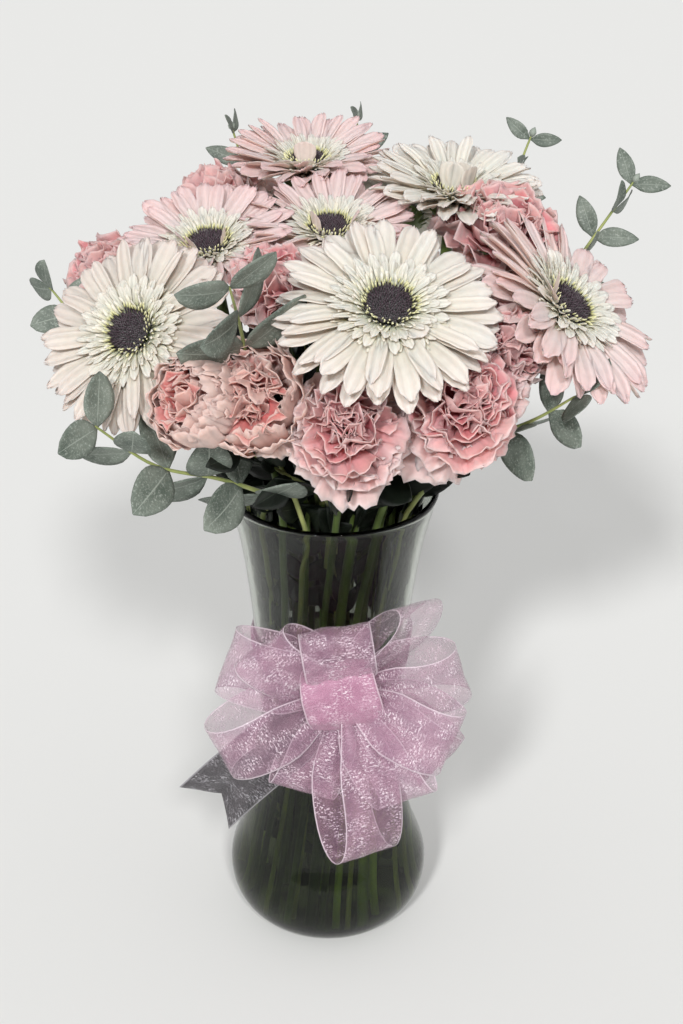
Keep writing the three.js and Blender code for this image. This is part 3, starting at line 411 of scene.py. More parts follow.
# Petals round a bloom: each points out along +X of its own frame and is lifted, with an uneven turn and size
def petalRingTree():
    tree, given = newTree("petalRing", {
        "Petals": "Collection", "Count": "Int", "Radius": "Float", "Height": "Float", "Lift": "Float",
        "Length": "Float", "Width": "Float", "Unevenness": "Float", "Ruffle": "Float", "Tone": "Float",
        "Seed": "Int", "Finish": "Material",
    })
    index = addNode(tree, "GeometryNodeInputIndex")
    draws = []
    for extra in range(4):
        seed = addNode(tree, "ShaderNodeMath", {0: given["Seed"], 1: 17.0 * extra}, operation="ADD")
        draw = addNode(tree, "FunctionNodeRandomValue", {2: -1.0, 3: 1.0, 7: index, 8: seed})
        uneven = addNode(tree, "ShaderNodeMath", {0: draw.outputs[1], 1: given["Unevenness"]}, operation="MULTIPLY")
        draws.append(uneven)
    nudged = addNode(tree, "ShaderNodeMath", {0: draws[0], 1: 0.9, 2: index}, operation="MULTIPLY_ADD")
    share = addNode(tree, "ShaderNodeMath", {0: nudged, 1: given["Count"]}, operation="DIVIDE")
    turn = addNode(tree, "ShaderNodeMath", {0: share, 1: 2 * math.pi}, operation="MULTIPLY")
    lift = addNode(tree, "ShaderNodeMath", {0: draws[1], 1: 0.6, 2: given["Lift"]}, operation="MULTIPLY_ADD")
    down = addNode(tree, "ShaderNodeMath", {0: lift, 1: -1.0}, operation="MULTIPLY")
    rotation = addNode(tree, "ShaderNodeCombineXYZ", {0: draws[2], 1: down, 2: turn})
    size = addNode(tree, "ShaderNodeMath", {0: draws[3], 1: 0.5, 2: 1.0}, operation="MULTIPLY_ADD")
    long = addNode(tree, "ShaderNodeMath", {0: given["Length"], 1: size}, operation="MULTIPLY")
    scale = addNode(tree, "ShaderNodeCombineXYZ", {0: long, 1: given["Width"], 2: long})
    cosine = addNode(tree, "ShaderNodeMath", {0: turn}, operation="COSINE")
    sine = addNode(tree, "ShaderNodeMath", {0: turn}, operation="SINE")
    outward = addNode(tree, "ShaderNodeCombineXYZ", {0: cosine, 1: sine})
    level = addNode(tree, "ShaderNodeCombineXYZ", {2: given["Height"]})
    place = addNode(tree, "ShaderNodeVectorMath", {
        0: outward, 1: given["Radius"], 2: level,
    }, operation="MULTIPLY_ADD")
    points = addNode(tree, "GeometryNodePoints", {"Count": given["Count"], "Position": place})
    shapes = addNode(tree, "GeometryNodeCollectionInfo", {
        "Collection": given["Petals"], "Separate Children": True, "Reset Children": True,
    })
    pick = addNode(tree, "FunctionNodeRandomValue", {4: 0, 5: 20, 8: given["Seed"]}, data_type="INT")
    petals = addNode(tree, "GeometryNodeInstanceOnPoints", {
        "Points": points, "Instance": shapes, "Pick Instance": True,
        "Instance Index": pick.outputs[2], "Rotation": rotation, "Scale": scale,
    })
    tone = addNode(tree, "ShaderNodeMath", {0: draws[2], 1: 0.9, 2: given["Tone"]}, operation="MULTIPLY_ADD")
    tone.use_clamp = True
    toned = addNode(tree, "GeometryNodeStoreNamedAttribute", {
        "Geometry": petals, "Name": "petalTone", "Value": tone,
    }, domain="INSTANCE")
    real = addNode(tree, "GeometryNodeRealizeInstances", {0: toned})
    position = addNode(tree, "GeometryNodeInputPosition")
    wavy = addNode(tree, "ShaderNodeTexNoise", {"Vector": position, "Scale": 110.0, "Detail": 1.0})
    centred = addNode(tree, "ShaderNodeVectorMath", {0: wavy.outputs[1], 1: (0.5, 0.5, 0.5)}, operation="SUBTRACT")
    offset = addNode(tree, "ShaderNodeVectorMath", {0: centred, "Scale": given["Ruffle"]}, operation="SCALE")
    moved = addNode(tree, "GeometryNodeSetPosition", {"Geometry": real, "Offset": offset})
    finished = addNode(tree, "GeometryNodeSetMaterial", {"Geometry": moved, "Material": given["Finish"]})
    addNode(tree, "NodeGroupOutput", {0: finished})
    return tree


# Florets on a golden-angle spiral between two radii, from upright to leaning outwards
def floretSpiralTree():
    tree, given = newTree("floretSpiral", {
        "Florets": "Collection", "Count": "Int", "Inner": "Float", "Outer": "Float", "Crown": "Float", "Rim": "Float",
        "Lean Inner": "Float", "Lean Outer": "Float", "Size": "Float", "Unevenness": "Float", "Seed": "Int",
        "Finish": "Material",
    })
    index = addNode(tree, "GeometryNodeInputIndex")
    step = addNode(tree, "ShaderNodeMath", {0: index, 1: 0.5}, operation="ADD")
    share = addNode(tree, "ShaderNodeMath", {0: step, 1: given["Count"]}, operation="DIVIDE")
    inner = addNode(tree, "ShaderNodeMath", {0: given["Inner"], 1: 2.0}, operation="POWER")
    outer = addNode(tree, "ShaderNodeMath", {0: given["Outer"], 1: 2.0}, operation="POWER")
    square = addNode(tree, "ShaderNodeMapRange", {0: share, 3: inner, 4: outer})
    radius = addNode(tree, "ShaderNodeMath", {0: square}, operation="SQRT")
    goldenAngle = math.pi * (3 - math.sqrt(5))
    turn = addNode(tree, "ShaderNodeMath", {0: index, 1: goldenAngle}, operation="MULTIPLY")
    height = addNode(tree, "ShaderNodeMapRange", {0: share, 3: given["Crown"], 4: given["Rim"]})
    cosine = addNode(tree, "ShaderNodeMath", {0: turn}, operation="COSINE")
    sine = addNode(tree, "ShaderNodeMath", {0: turn}, operation="SINE")
    x = addNode(tree, "ShaderNodeMath", {0: cosine, 1: radius}, operation="MULTIPLY")
    y = addNode(tree, "ShaderNodeMath", {0: sine, 1: radius}, operation="MULTIPLY")
    place = addNode(tree, "ShaderNodeCombineXYZ", {0: x, 1: y, 2: height})
    points = addNode(tree, "GeometryNodePoints", {"Count": given["Count"], "Position": place})
    draw = addNode(tree, "FunctionNodeRandomValue", {2: -1.0, 3: 1.0, 8: given["Seed"]})
    uneven = addNode(tree, "ShaderNodeMath", {0: draw.outputs[1], 1: given["Unevenness"]}, operation="MULTIPLY")
    leaning = addNode(tree, "ShaderNodeMapRange", {0: share, 3: given["Lean Inner"], 4: given["Lean Outer"]})
    lean = addNode(tree, "ShaderNodeMath", {0: leaning, 1: uneven}, operation="ADD")
    rotation = addNode(tree, "ShaderNodeCombineXYZ", {0: uneven, 1: lean, 2: turn})
    grow = addNode(tree, "ShaderNodeMath", {0: uneven, 1: 0.6, 2: 1.0}, operation="MULTIPLY_ADD")
    size = addNode(tree, "ShaderNodeMath", {0: grow, 1: given["Size"]}, operation="MULTIPLY")
    shapes = addNode(tree, "GeometryNodeCollectionInfo", {
        "Collection": given["Florets"], "Separate Children": True, "Reset Children": True,
    })
    florets = addNode(tree, "GeometryNodeInstanceOnPoints", {
        "Points": points, "Instance": shapes, "Pick Instance": True,
        "Instance Index": index, "Rotation": rotation, "Scale": size,
    })
    tone = addNode(tree, "ShaderNodeMapRange", {0: draw.outputs[1], 1: -1.0, 2: 1.0, 3: 0.0, 4: 1.0})
    toned = addNode(tree, "GeometryNodeStoreNamedAttribute", {
        "Geometry": florets, "Name": "petalTone", "Value": tone,
    }, domain="INSTANCE")
    real = addNode(tree, "GeometryNodeRealizeInstances", {0: toned})
    finished = addNode(tree, "GeometryNodeSetMaterial", {"Geometry": real, "Material": given["Finish"]})
    addNode(tree, "NodeGroupOutput", {0: finished})
    return tree


# A twig along the given line, thinner to its tip, with pairs of leaves that turn crosswise up it
def leafySprigTree():
    tree, given = newTree("leafySprig", {
        "Leaves": "Collection", "Pairs": "Int", "First Pair": "Float", "Leaf Length": "Float", "Tip Share": "Float",
        "Lean": "Float", "Face": "Vector", "Cross Turn": "Float", "Twig Radius": "Float", "Unevenness": "Float",
        "Seed": "Int", "Leaf Finish": "Material", "Twig Finish": "Material",
    })
    line = addNode(tree, "GeometryNodeMeshToCurve", {0: given["Geometry"]})
    factor = addNode(tree, "GeometryNodeSplineParameter")
    thin = addNode(tree, "ShaderNodeMapRange", {0: factor, 3: 1.0, 4: 0.45})
    section = addNode(tree, "GeometryNodeCurvePrimitiveCircle", {"Resolution": 8, "Radius": given["Twig Radius"]})
    tube = addNode(tree, "GeometryNodeCurveToMesh", {
        "Curve": line, "Profile Curve": section, "Scale": thin, "Fill Caps": True,
    })
    twig = addNode(tree, "GeometryNodeSetMaterial", {"Geometry": tube, "Material": given["Twig Finish"]})
    leafy = addNode(tree, "GeometryNodeTrimCurve", {
        0: line, 2: given["First Pair"], 3: 0.985,
    }, mode="FACTOR")
    places = addNode(tree, "GeometryNodeResampleCurve", {
        "Curve": leafy, "Count": given["Pairs"],
    }, mode="COUNT")
    index = addNode(tree, "GeometryNodeInputIndex")
    tangent = addNode(tree, "GeometryNodeInputTangent")
    along = addNode(tree, "ShaderNodeVectorMath", {0: given["Face"], 1: tangent}, operation="DOT_PRODUCT")
    back = addNode(tree, "ShaderNodeVectorMath", {0: tangent, "Scale": along.outputs["Value"]}, operation="SCALE")
    flat = addNode(tree, "ShaderNodeVectorMath", {0: given["Face"], 1: back}, operation="SUBTRACT")
    facing = addNode(tree, "ShaderNodeVectorMath", {0: flat}, operation="NORMALIZE")
    draw = addNode(tree, "FunctionNodeRandomValue", {2: -1.0, 3: 1.0, 7: index, 8: given["Seed"]})
    uneven = addNode(tree, "ShaderNodeMath", {0: draw.outputs[1], 1: given["Unevenness"]}, operation="MULTIPLY")
    odd = addNode(tree, "ShaderNodeMath", {0: index, 1: 2.0}, operation="MODULO")
    cross = addNode(tree, "ShaderNodeMath", {
        0: odd, 1: given["Cross Turn"], 2: uneven,
    }, operation="MULTIPLY_ADD")
    turned = addNode(tree, "ShaderNodeVectorRotate", {
        "Vector": facing, "Axis": tangent, "Angle": cross,
    }, rotation_type="AXIS_ANGLE")
    beside = addNode(tree, "ShaderNodeVectorMath", {0: turned, 1: tangent}, operation="CROSS_PRODUCT")
    shapes = addNode(tree, "GeometryNodeCollectionInfo", {
        "Collection": given["Leaves"], "Separate Children": True, "Reset Children": True,
    })
    grow = addNode(tree, "ShaderNodeMapRange", {0: factor, 3: 1.0, 4: given["Tip Share"]})
    even = addNode(tree, "ShaderNodeMath", {0: grow, 1: given["Leaf Length"]}, operation="MULTIPLY")
    vary = addNode(tree, "ShaderNodeMath", {0: uneven, 1: 0.5, 2: 1.0}, operation="MULTIPLY_ADD")
    size = addNode(tree, "ShaderNodeMath", {0: even, 1: vary}, operation="MULTIPLY")
    cosine = addNode(tree, "ShaderNodeMath", {0: given["Lean"]}, operation="COSINE")
    sine = addNode(tree, "ShaderNodeMath", {0: given["Lean"]}, operation="SINE")
    ahead = addNode(tree, "ShaderNodeVectorMath", {0: tangent, "Scale": sine}, operation="SCALE")
    upward = addNode(tree, "FunctionNodeAlignRotationToVector", {"Vector": turned}, axis="Z")
    parts = [twig.outputs[0]]
    for side in (1, -1):
        reach = addNode(tree, "ShaderNodeMath", {0: cosine, 1: float(side)}, operation="MULTIPLY")
        aside = addNode(tree, "ShaderNodeVectorMath", {0: beside, "Scale": reach}, operation="SCALE")
        out = addNode(tree, "ShaderNodeVectorMath", {0: aside, 1: ahead}, operation="ADD")
        rotation = addNode(tree, "FunctionNodeAlignRotationToVector", {
            "Rotation": upward, "Vector": out,
        }, axis="X", pivot_axis="Z")
        pick = addNode(tree, "ShaderNodeMath", {0: index, 1: given["Seed"]}, operation="ADD")
        shape = addNode(tree, "ShaderNodeMath", {0: pick, 1: 0.5 - side / 2}, operation="ADD")
        leaves = addNode(tree, "GeometryNodeInstanceOnPoints", {
            "Points": places, "Instance": shapes, "Pick Instance": True,
            "Instance Index": shape, "Rotation": rotation, "Scale": size,
        })
        finished = addNode(tree, "GeometryNodeSetMaterial", {
            "Geometry": leaves, "Material": given["Leaf Finish"],
        })
        parts.append(finished.outputs[0])
    joined = addNode(tree, "GeometryNodeJoinGeometry")
    for part in parts:
        tree.links.new(part, joined.inputs[0])
    real = addNode(tree, "GeometryNodeRealizeInstances", {0: joined})
    addNode(tree, "NodeGroupOutput", {0: real})
    return tree


# A round stem along the given line, as thick at each point as its `thickness` says
def stemTubeTree():
    tree, given = newTree("stemTube", {"Sides": "Int", "Finish": "Material"})
    line = addNode(tree, "GeometryNodeMeshToCurve", {0: given["Geometry"]})
    thickness = addNode(tree, "GeometryNodeInputNamedAttribute", {"Name": "thickness"})
    section = addNode(tree, "GeometryNodeCurvePrimitiveCircle", {"Resolution": given["Sides"], "Radius": 1.0})
    tube = addNode(tree, "GeometryNodeCurveToMesh", {
        "Curve": line, "Profile Curve": section, "Scale": thickness, "Fill Caps": True,
    })
    real = addNode(tree, "GeometryNodeRealizeInstances", {0: tube})
    finished = addNode(tree, "GeometryNodeSetMaterial", {"Geometry": real, "Material": given["Finish"]})
    addNode(tree, "NodeGroupOutput", {0: finished})
    return tree


petalRing = petalRingTree()
floretSpiral = floretSpiralTree()
leafySprig = leafySprigTree()
stemTube = stemTubeTree()
print("trees: petalRing, floretSpiral, leafySprig, stemTube")


def lineMesh(points, thickness=None):
    mesh = bpy.data.meshes.new("line")
    mesh.from_pydata(points, [(i, i + 1) for i in range(len(points) - 1)], [])
    if thickness:
        attribute = mesh.attributes.new("thickness", "FLOAT", "POINT")
        attribute.data.foreach_set("value", thickness)
    return mesh


# Joins meshes into one piece, which takes a CAD node's place
def addPiece(name, meshes, node, finish=None):
    parts = [bpy.data.objects.new(name, mesh) for mesh in meshes]
    for part in parts:
        scene.collection.objects.link(part)
    piece = parts[0]
    if len(parts) > 1:
        with bpy.context.temp_override(active_object=piece, object=piece, selected_editable_objects=parts):
            bpy.ops.object.join()
    piece.name = name
    if finish:
        piece.data.materials.append(finishes[finish])
    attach(piece, "root")
    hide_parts(node)
    return piece


def placed(mesh, matrix):
    mesh.transform(matrix)
    return mesh


# A kind and a bloom's or a sprig's own name in one, as in gerberaLeftRear
def pieceName(kind, name):
    return kind + "".join(word.capitalize() for word in name.split("_"))


# Vase and water

vase = {
    "heights": [0, 9, 32, 63, 92, 130, 195, 248, 285],
    "radii": [40, 51.5, 59, 50, 41.5, 40, 43.5, 50, 58],
    "wall": 3,
    "floor": 9,
    "floorRadius": 41,
    "foot": [(0, 3.4), (18, 3.2), (20, 2.4), (28, 2.2), (30, 1.4), (34, 1.1), (36, 0)],  # stepped hollow underneath
    "lip": 1.7,
    "lipTurns": (0, 0.8, 1.6, 2.3, math.pi),
    "water": 180,
    "waterLap": 0.3,
    "sides": 96,
    "ringStep": 4,
}


# The vase's outer radius at a height, on the curve through its stated radii
def vaseRadius(z):
    heights, radii = vase["heights"], vase["radii"]
    last = len(heights) - 1
    i = min(max(sum(h <= z for h in heights), 1), last)
    t0, t1 = heights[i - 1], heights[i]
    tPrev, vPrev = (heights[i - 2], radii[i - 2]) if i > 1 else (t1, radii[i])
    tNext, vNext = (heights[i + 1], radii[i + 1]) if i < last else (t0, radii[i - 1])
    half = (t1 - t0) / 2
    wPrev, wNext = half / (t0 - tPrev), half / (tNext - t1)
    p = (z - t0) / (t1 - t0)
    sPrev = -wPrev * p**3 + 2 * wPrev * p**2 - wPrev * p
    s0 = (1 + wPrev) * p**3 + (-1.5 - 2 * wPrev) * p**2 + (-0.5 + wPrev) * p + 1
    s1 = (-1 - wNext) * p**3 + (1.5 + wNext) * p**2 + 0.5 * p
    sNext = wNext * p**3 - wNext * p**2
    return sPrev * vPrev + s0 * radii[i - 1] + s1 * radii[i] + sNext * vNext


# Turns an outline of (radius, height) round the upright axis; both ends lie on the axis
def turnedMesh(name, outline, sides, unit=mm):
    points = [Vector((0, 0, outline[0][1])) * unit, Vector((0, 0, outline[-1][1])) * unit]
    rings = outline[1:-1]
    for r, z in rings:
        for side in range(sides):
            angle = 2 * math.pi * side / sides
            points.append(Vector((r * math.cos(angle), r * math.sin(angle), z)) * unit)
    faces = []
    for side in range(sides):
        after = (side + 1) % sides
        faces.append((0, 2 + after, 2 + side))
        top = 2 + (len(rings) - 1) * sides
        faces.append((1, top + side, top + after))
        for ring in range(len(rings) - 1):
            a = 2 + ring * sides
            faces.append((a + side, a + after, a + sides + after, a + sides + side))
    mesh = bpy.data.meshes.new(name)
    mesh.from_pydata(points, [], faces)
    mesh.shade_smooth()
    return mesh


def vaseOutline():
    top, lip, wall, step = vase["heights"][-1], vase["lip"], vase["wall"], vase["ringStep"]
    base, floor = vaseRadius(0), vase["floor"]
    rim = vaseRadius(top) - wall / 2
    return [
        *vase["foot"], (base - 1.5, 0), (base, 1.2),
        *((vaseRadius(z), z) for z in range(step, int(top - lip), step)),
        *((rim + lip * math.cos(a), top - lip + lip * math.sin(a)) for a in vase["lipTurns"]),
        *((vaseRadius(z) - wall, z) for z in range(int(top - lip) - 2, floor + 4, -step)),
        (vase["floorRadius"] + 3.5, floor + 1.6), (vase["floorRadius"], floor), (0, floor),
    ]


# The water laps into the glass, so that no film of air shows between them, and climbs a little at its edge
def waterOutline():
    lap, surface, wide = vase["waterLap"], vase["water"], vase["floorRadius"]
    foot = vase["floor"] - lap

    def reach(z):
        return vaseRadius(z) - vase["wall"] + lap

    return [
        (0, foot), (wide, foot), (wide + 3.6, foot + 1.6),
        *((reach(z), z) for z in range(vase["floor"] + 5, surface - 2, vase["ringStep"])),
        (reach(surface), surface + 1.2), (reach(surface) - 1, surface + 0.5), (reach(surface) - 3.5, surface),
        (0, surface),
    ]


addPiece("glassVase", [turnedMesh("glassVase", vaseOutline(), vase["sides"])], "vase", "glass")
addPiece("vaseWater", [turnedMesh("vaseWater", waterOutline(), vase["sides"])], "water", "water")
print("vase and water made")


# Blooms: `at` is the middle of the face in mm, `facing` is [degrees right of the front, degrees up]

def bloomFrame(bloom):
    right, rise = (math.radians(angle) for angle in bloom["facing"])
    facing = Vector((math.sin(right) * math.cos(rise), -math.cos(right) * math.cos(rise), math.sin(rise)))
    turn = up.rotation_difference(facing).to_matrix().to_4x4()
    return Matrix.Translation(Vector(bloom["at"]) * mm) @ turn @ Matrix.Rotation(math.radians(bloom["roll"]), 4, "Z")


# `folded` petals stand up over the disc, each [degrees round the bloom, lift, length, width]
gerberas = [
    {"name": "front", "at": [25, -92, 422], "facing": [8, 60], "radius": 53, "cup": 2, "roll": 0, "cream": True,
     "tone": 0.35, "folded": [[-52, 24, 17, 11]]},
    {"name": "left", "at": [-95, -74, 401], "facing": [-30, 40], "radius": 50, "cup": 2, "roll": 9, "cream": True,
     "tone": 0.75, "folded": []},
    {"name": "right", "at": [112, -50, 408], "facing": [66, 48], "radius": 56, "cup": 5, "roll": 4, "cream": False,
     "tone": 0.1, "folded": [[-150, 40, 18, 10], [-172, 60, 16, 9]]},
    {"name": "left_rear", "at": [-63, -18, 424], "facing": [-28, 72], "radius": 46, "cup": 16, "roll": 15,
     "cream": False, "folded": [[-152, 86, 12, 9], [-34, 84, 11, 9], [-170, 70, 15, 10]]},
    {"name": "centre_rear", "at": [-3, -8, 430], "facing": [4, 77], "radius": 45, "cup": 18, "roll": 6,
     "cream": False, "folded": [[-150, 86, 13, 10], [-25, 72, 15, 10]]},
    # Painted light: this upward-facing bloom's near-zero tone lightens its rays, where the suns fall weakly on it
    {"name": "right_rear", "at": [60, 22, 442], "facing": [30, 82], "radius": 46, "cup": 20, "roll": 11,
     "cream": True, "tone": 0.05, "folded": [[-125, 100, 18, 13], [-88, 110, 18, 14], [-50, 96, 16, 12]]},
    {"name": "top", "at": [-16, 62, 443], "facing": [-10, 84], "radius": 45, "cup": 22, "roll": 2,
     "cream": False, "folded": [[-100, 100, 15, 12]]},
    {"name": "back", "at": [38, 116, 404], "facing": [164, 42], "radius": 48, "cup": 6, "roll": 8,
     "cream": True, "tone": 0.3, "folded": []},
]
# Rings of rays from the lowest up; sizes are shares of the bloom's radius, widths are mm for a radius of 50
# Florets run from an inner to an outer edge; bracts are [distance behind the face, share of the cup's width, lift]
gerbera = {
    "rings": [
        {"count": 23, "radius": 0.17, "height": -3.2, "lift": -3, "length": 0.84, "width": 10.6},
        {"count": 23, "radius": 0.17, "height": -1.4, "lift": 4, "length": 0.82, "width": 9.8},
        {"count": 11, "radius": 0.18, "height": 0.2, "lift": 9, "length": 0.74, "width": 7.6},
        {"count": 26, "radius": 0.19, "height": 0.9, "lift": 17, "length": 0.38, "width": 4.6},
        {"count": 30, "radius": 0.2, "height": 1.6, "lift": 27, "length": 0.28, "width": 3.4},
    ],
    "frill": {"count": 200, "radii": (0.21, 0.4), "heights": (2.8, 1.8), "leans": (22, 64), "size": 8.0,
              "unevenness": 0.3},
    "stamens": {"count": 84, "radii": (0.17, 0.22), "heights": (4.0, 2.8), "leans": (24, 38.4), "size": 5.4,
                "unevenness": 0.3},
    "disc": {"count": 230, "radii": (0, 0.185), "heights": (4.6, 3.2), "leans": (0, 30), "size": 3.0,
             "unevenness": 0.25},
    "cushion": {"foot": 2.0, "shares": (0.97, 0.7, 0.35), "sides": 24},
    "folded": {"radius": 0.2, "height": 2.0},
    "unevenness": 0.085,
    "ruffle": 1.6,
    "tone": 0.35,
    "stemRadius": 2.9,
    "cupWidth": 0.27,
    "bracts": {"count": 16, "rows": [(17, 0.4, 52), (12, 0.68, 44)], "length": 9, "width": 4.5, "unevenness": 0.12},
}


# A ray: narrow at its root, widest past its middle, with two grooves and a blunt notched tip
def rayPetal(seed):
    draw = random.Random(seed)
    droop, twist, channel = draw.uniform(0.06, 0.2), draw.uniform(-0.14, 0.14), draw.uniform(0.02, 0.06)
    notch, lean = draw.uniform(0.01, 0.03), draw.uniform(-0.05, 0.05)

    def spot(u, row):
        v = 1 - (1 - row) ** 1.7
        half = 0.5 * (0.42 + 0.58 * smoothstep(0.05, 0.6, v)) * math.sqrt(1 - 0.85 * (max(v - 0.78, 0) / 0.22) ** 2)
        x = v * (1 - 0.03 * u * u) - notch * smoothstep(0.9, 1, v) * (1 - math.cos(3 * math.pi * u)) / 2
        z = 0.1 * v - droop * v**2.4 + channel * u * u * (1 - 0.7 * v)
        z -= 0.018 * math.exp(-(((abs(u) - 0.4) / 0.2) ** 2)) * (0.3 + v)
        return Vector((x, half * u + lean * v * v, z + twist * half * u * v))

    return closedSheet(f"ray{seed}", spot, 6, 8, 0.014)


# A floret of the pale frill: a thin strap that curls open at its tip
def frillPetal(seed):
    draw = random.Random(40 + seed)
    curl, sway = draw.uniform(0.15, 0.5), draw.uniform(-0.2, 0.2)

    def spot(u, v):
        half = 0.085 * (0.7 + 0.6 * v) * (1 if v < 0.99 else 0.5)
        return Vector((curl * v * v, half * u + sway * v * v, v - 0.25 * curl * v**3))

    return closedSheet(f"frill{seed}", spot, 2, 4, 0.035)


# A disc floret: a stubby tapered peg, its map running from the root to the tip
def peg(name, radii, sides=5):
    rings = [(r, (i + 0.02) / len(radii)) for i, r in enumerate(radii)]
    mesh = turnedMesh(name, [(0, 0), *rings, (0, 1)], sides, 1)
    uvLayer = mesh.uv_layers.new(name="UVMap")
    for loop in mesh.loops:
        uvLayer.data[loop.index].uv = (0.5, mesh.vertices[loop.vertex_index].co.z)
    return mesh


rayPetals = variantsOf("rayPetals", [rayPetal(seed) for seed in range(6)])
frillPetals = variantsOf("frillPetals", [frillPetal(seed) for seed in range(4)])
discFlorets = variantsOf("discFlorets", [peg("discPeg", [0.2, 0.22, 0.12])])
stamens = variantsOf("stamens", [peg("stamenPeg", [0.07, 0.06, 0.09, 0.07], 4)])


def ringOf(petals, matrix, values, finish, seed):
    mesh = grown(petalRing, {"Petals": petals, "Seed": seed, "Finish": finishes[finish], **values})
    return placed(mesh, matrix)


# Places a unit petal by its turn round the bloom, its lift, and its length and width in mm
def petalPlace(turn, lift, length, width, radius, height):
    turned = Matrix.Rotation(math.radians(turn), 4, "Z") @ Matrix.Translation((radius, 0, height))
    lifted = turned @ Matrix.Rotation(-math.radians(lift), 4, "Y")
    return lifted @ Matrix.Diagonal((length * mm, width * mm, length * mm, 1))


def floretsOf(variants, row, finish, bloom, matrix, seed):
    size = bloom["radius"] * mm
    (inner, outer), (crown, rim) = gerbera[row]["radii"], gerbera[row]["heights"]
    leanInner, leanOuter = (math.radians(lean) for lean in gerbera[row]["leans"])
    mesh = grown(floretSpiral, {
        "Florets": variants, "Count": gerbera[row]["count"], "Inner": inner * size, "Outer": outer * size,
        "Crown": crown * mm, "Rim": rim * mm, "Lean Inner": leanInner, "Lean Outer": leanOuter,
        "Size": gerbera[row]["size"] * mm, "Unevenness": gerbera[row]["unevenness"],
        "Seed": seed, "Finish": finishes[finish],
    })
    return placed(mesh, matrix)


def gerberaRays(bloom, matrix, seed):
    size = bloom["radius"] * mm
    finish = "creamRays" if bloom["cream"] else "pinkRays"
    meshes = []
    for i, ring in enumerate(gerbera["rings"]):
        meshes.append(ringOf(rayPetals, matrix, {
            "Count": ring["count"],
            "Radius": ring["radius"] * size,
            "Height": ring["height"] * mm,
            "Lift": math.radians(ring["lift"] + bloom["cup"] * (1 - 0.1 * i)),
            "Length": ring["length"] * size,
            "Width": ring["width"] * mm * bloom["radius"] / 50,
            "Unevenness": gerbera["unevenness"] * (1 + 0.15 * i),
            "Ruffle": gerbera["ruffle"] * mm,
            "Tone": bloom.get("tone", gerbera["tone"]),
        }, finish if i < 3 else "innerRays", seed + 7 * i))
    folded = gerbera["folded"]
    for i, (turn, lift, length, width) in enumerate(bloom["folded"]):
        petal = rayPetal(60 + seed + i)
        petal.materials.append(finishes[finish])
        place = petalPlace(turn, lift, length, width, folded["radius"] * size, folded["height"] * mm)
        meshes.append(placed(petal, matrix @ place))
    return [*meshes, floretsOf(frillPetals, "frill", "frill", bloom, matrix, seed)]


def gerberaEye(bloom, matrix, seed):
    florets = floretsOf(discFlorets, "disc", "disc", bloom, matrix, seed)
    spikes = floretsOf(stamens, "stamens", "stamen", bloom, matrix, seed + 3)
    (_, outer), (crown, rim), dome = gerbera["disc"]["radii"], gerbera["disc"]["heights"], gerbera["cushion"]
    wide, foot = outer * bloom["radius"], dome["foot"]
    swell = [(wide * share, rim + (crown - rim) * (1 - share**2)) for share in dome["shares"]]
    outline = [(0, foot), (wide * dome["shares"][0], foot), *swell, (0, crown)]
    cushion = turnedMesh("discCushion", outline, dome["sides"])
    cushion.materials.append(finishes["disc"])
    return [florets, spikes, placed(cushion, matrix)]


# Stems: the way that each CAD stem takes, read from its own solid by cutting it at a height

def cutCentre(node, z):
    mesh = frame["nodes"][node].data
    crossings = []
    for edge in mesh.edges:
        a, b = (mesh.vertices[i].co for i in edge.vertices)
        if (a.z - z) * (b.z - z) < 0:
            crossings.append(a.lerp(b, (z - a.z) / (b.z - a.z)))
    low = Vector((min(p.x for p in crossings), min(p.y for p in crossings), z))
    high = Vector((max(p.x for p in crossings), max(p.y for p in crossings), z))
    return (low + high) / 2


# `cuts` and `neckCuts` are heights; a bloom's last cut stays `clear` of where its stem turns, `run` behind its cup
stems = {
    "cuts": [9.6, 40, 80, 114, 150, 190, 225, 255, 284],
    "neckCuts": [300, 315, 330, 345],
    "run": 24,
    "clear": 8,
    "steps": 4,
    "sides": 12,
    "twigSides": 8,
}


def stemLine(node, beyond):
    inVase = [cutCentre(node, z * mm) for z in stems["cuts"]]
    return smoothPath([*inVase, *beyond], stems["steps"])


# A bloom's stem runs on into the cup under its head, whose outline is [distance behind the face, radius] in mm
def bloomStem(node, bloom, cup, thick):
    matrix = bloomFrame(bloom)
    facing = matrix.to_3x3() @ up
    head = matrix.translation
    start = head - facing * (cup[0][0] + stems["run"]) * mm
    neck = [cutCentre(node, z * mm) for z in stems["neckCuts"] if z * mm < start.z - stems["clear"] * mm]
    line = stemLine(node, [*neck, start])
    radii = [thick * mm] * len(line)
    for behind, radius in cup:
        line.append(head - facing * behind * mm)
        radii.append(radius * mm)
    return grown(stemTube, {"Sides": stems["sides"], "Finish": finishes["stem"]}, lineMesh(line, radii))


# Green bracts that overlap round a gerbera's cup
def bract(seed):
    def spot(u, v):
        return Vector((v, 0.5 * (1 - v) ** 0.6 * u + 0.001 * u, 0.05 * u * u))

    return closedSheet(f"bract{seed}", spot, 2, 4, 0.05)


bracts = variantsOf("bracts", [bract(0)])


def gerberaStem(node, bloom, seed):
    wide, thick, scales = gerbera["cupWidth"] * bloom["radius"], gerbera["stemRadius"], gerbera["bracts"]
    cup = [(21, thick + 0.3), (18, thick + 2), (13, wide * 0.75), (8, wide * 0.95), (4.6, wide)]
    meshes = [bloomStem(node, bloom, cup, thick)]
    for i, (behind, share, lift) in enumerate(scales["rows"]):
        meshes.append(ringOf(bracts, bloomFrame(bloom), {
            "Count": scales["count"],
            "Radius": share * wide * mm,
            "Height": -behind * mm,
            "Lift": math.radians(lift),
            "Length": scales["length"] * mm,
            "Width": scales["width"] * mm,
            "Unevenness": scales["unevenness"],
            "Ruffle": 0.0,
        }, "stem", seed + i))
    return meshes


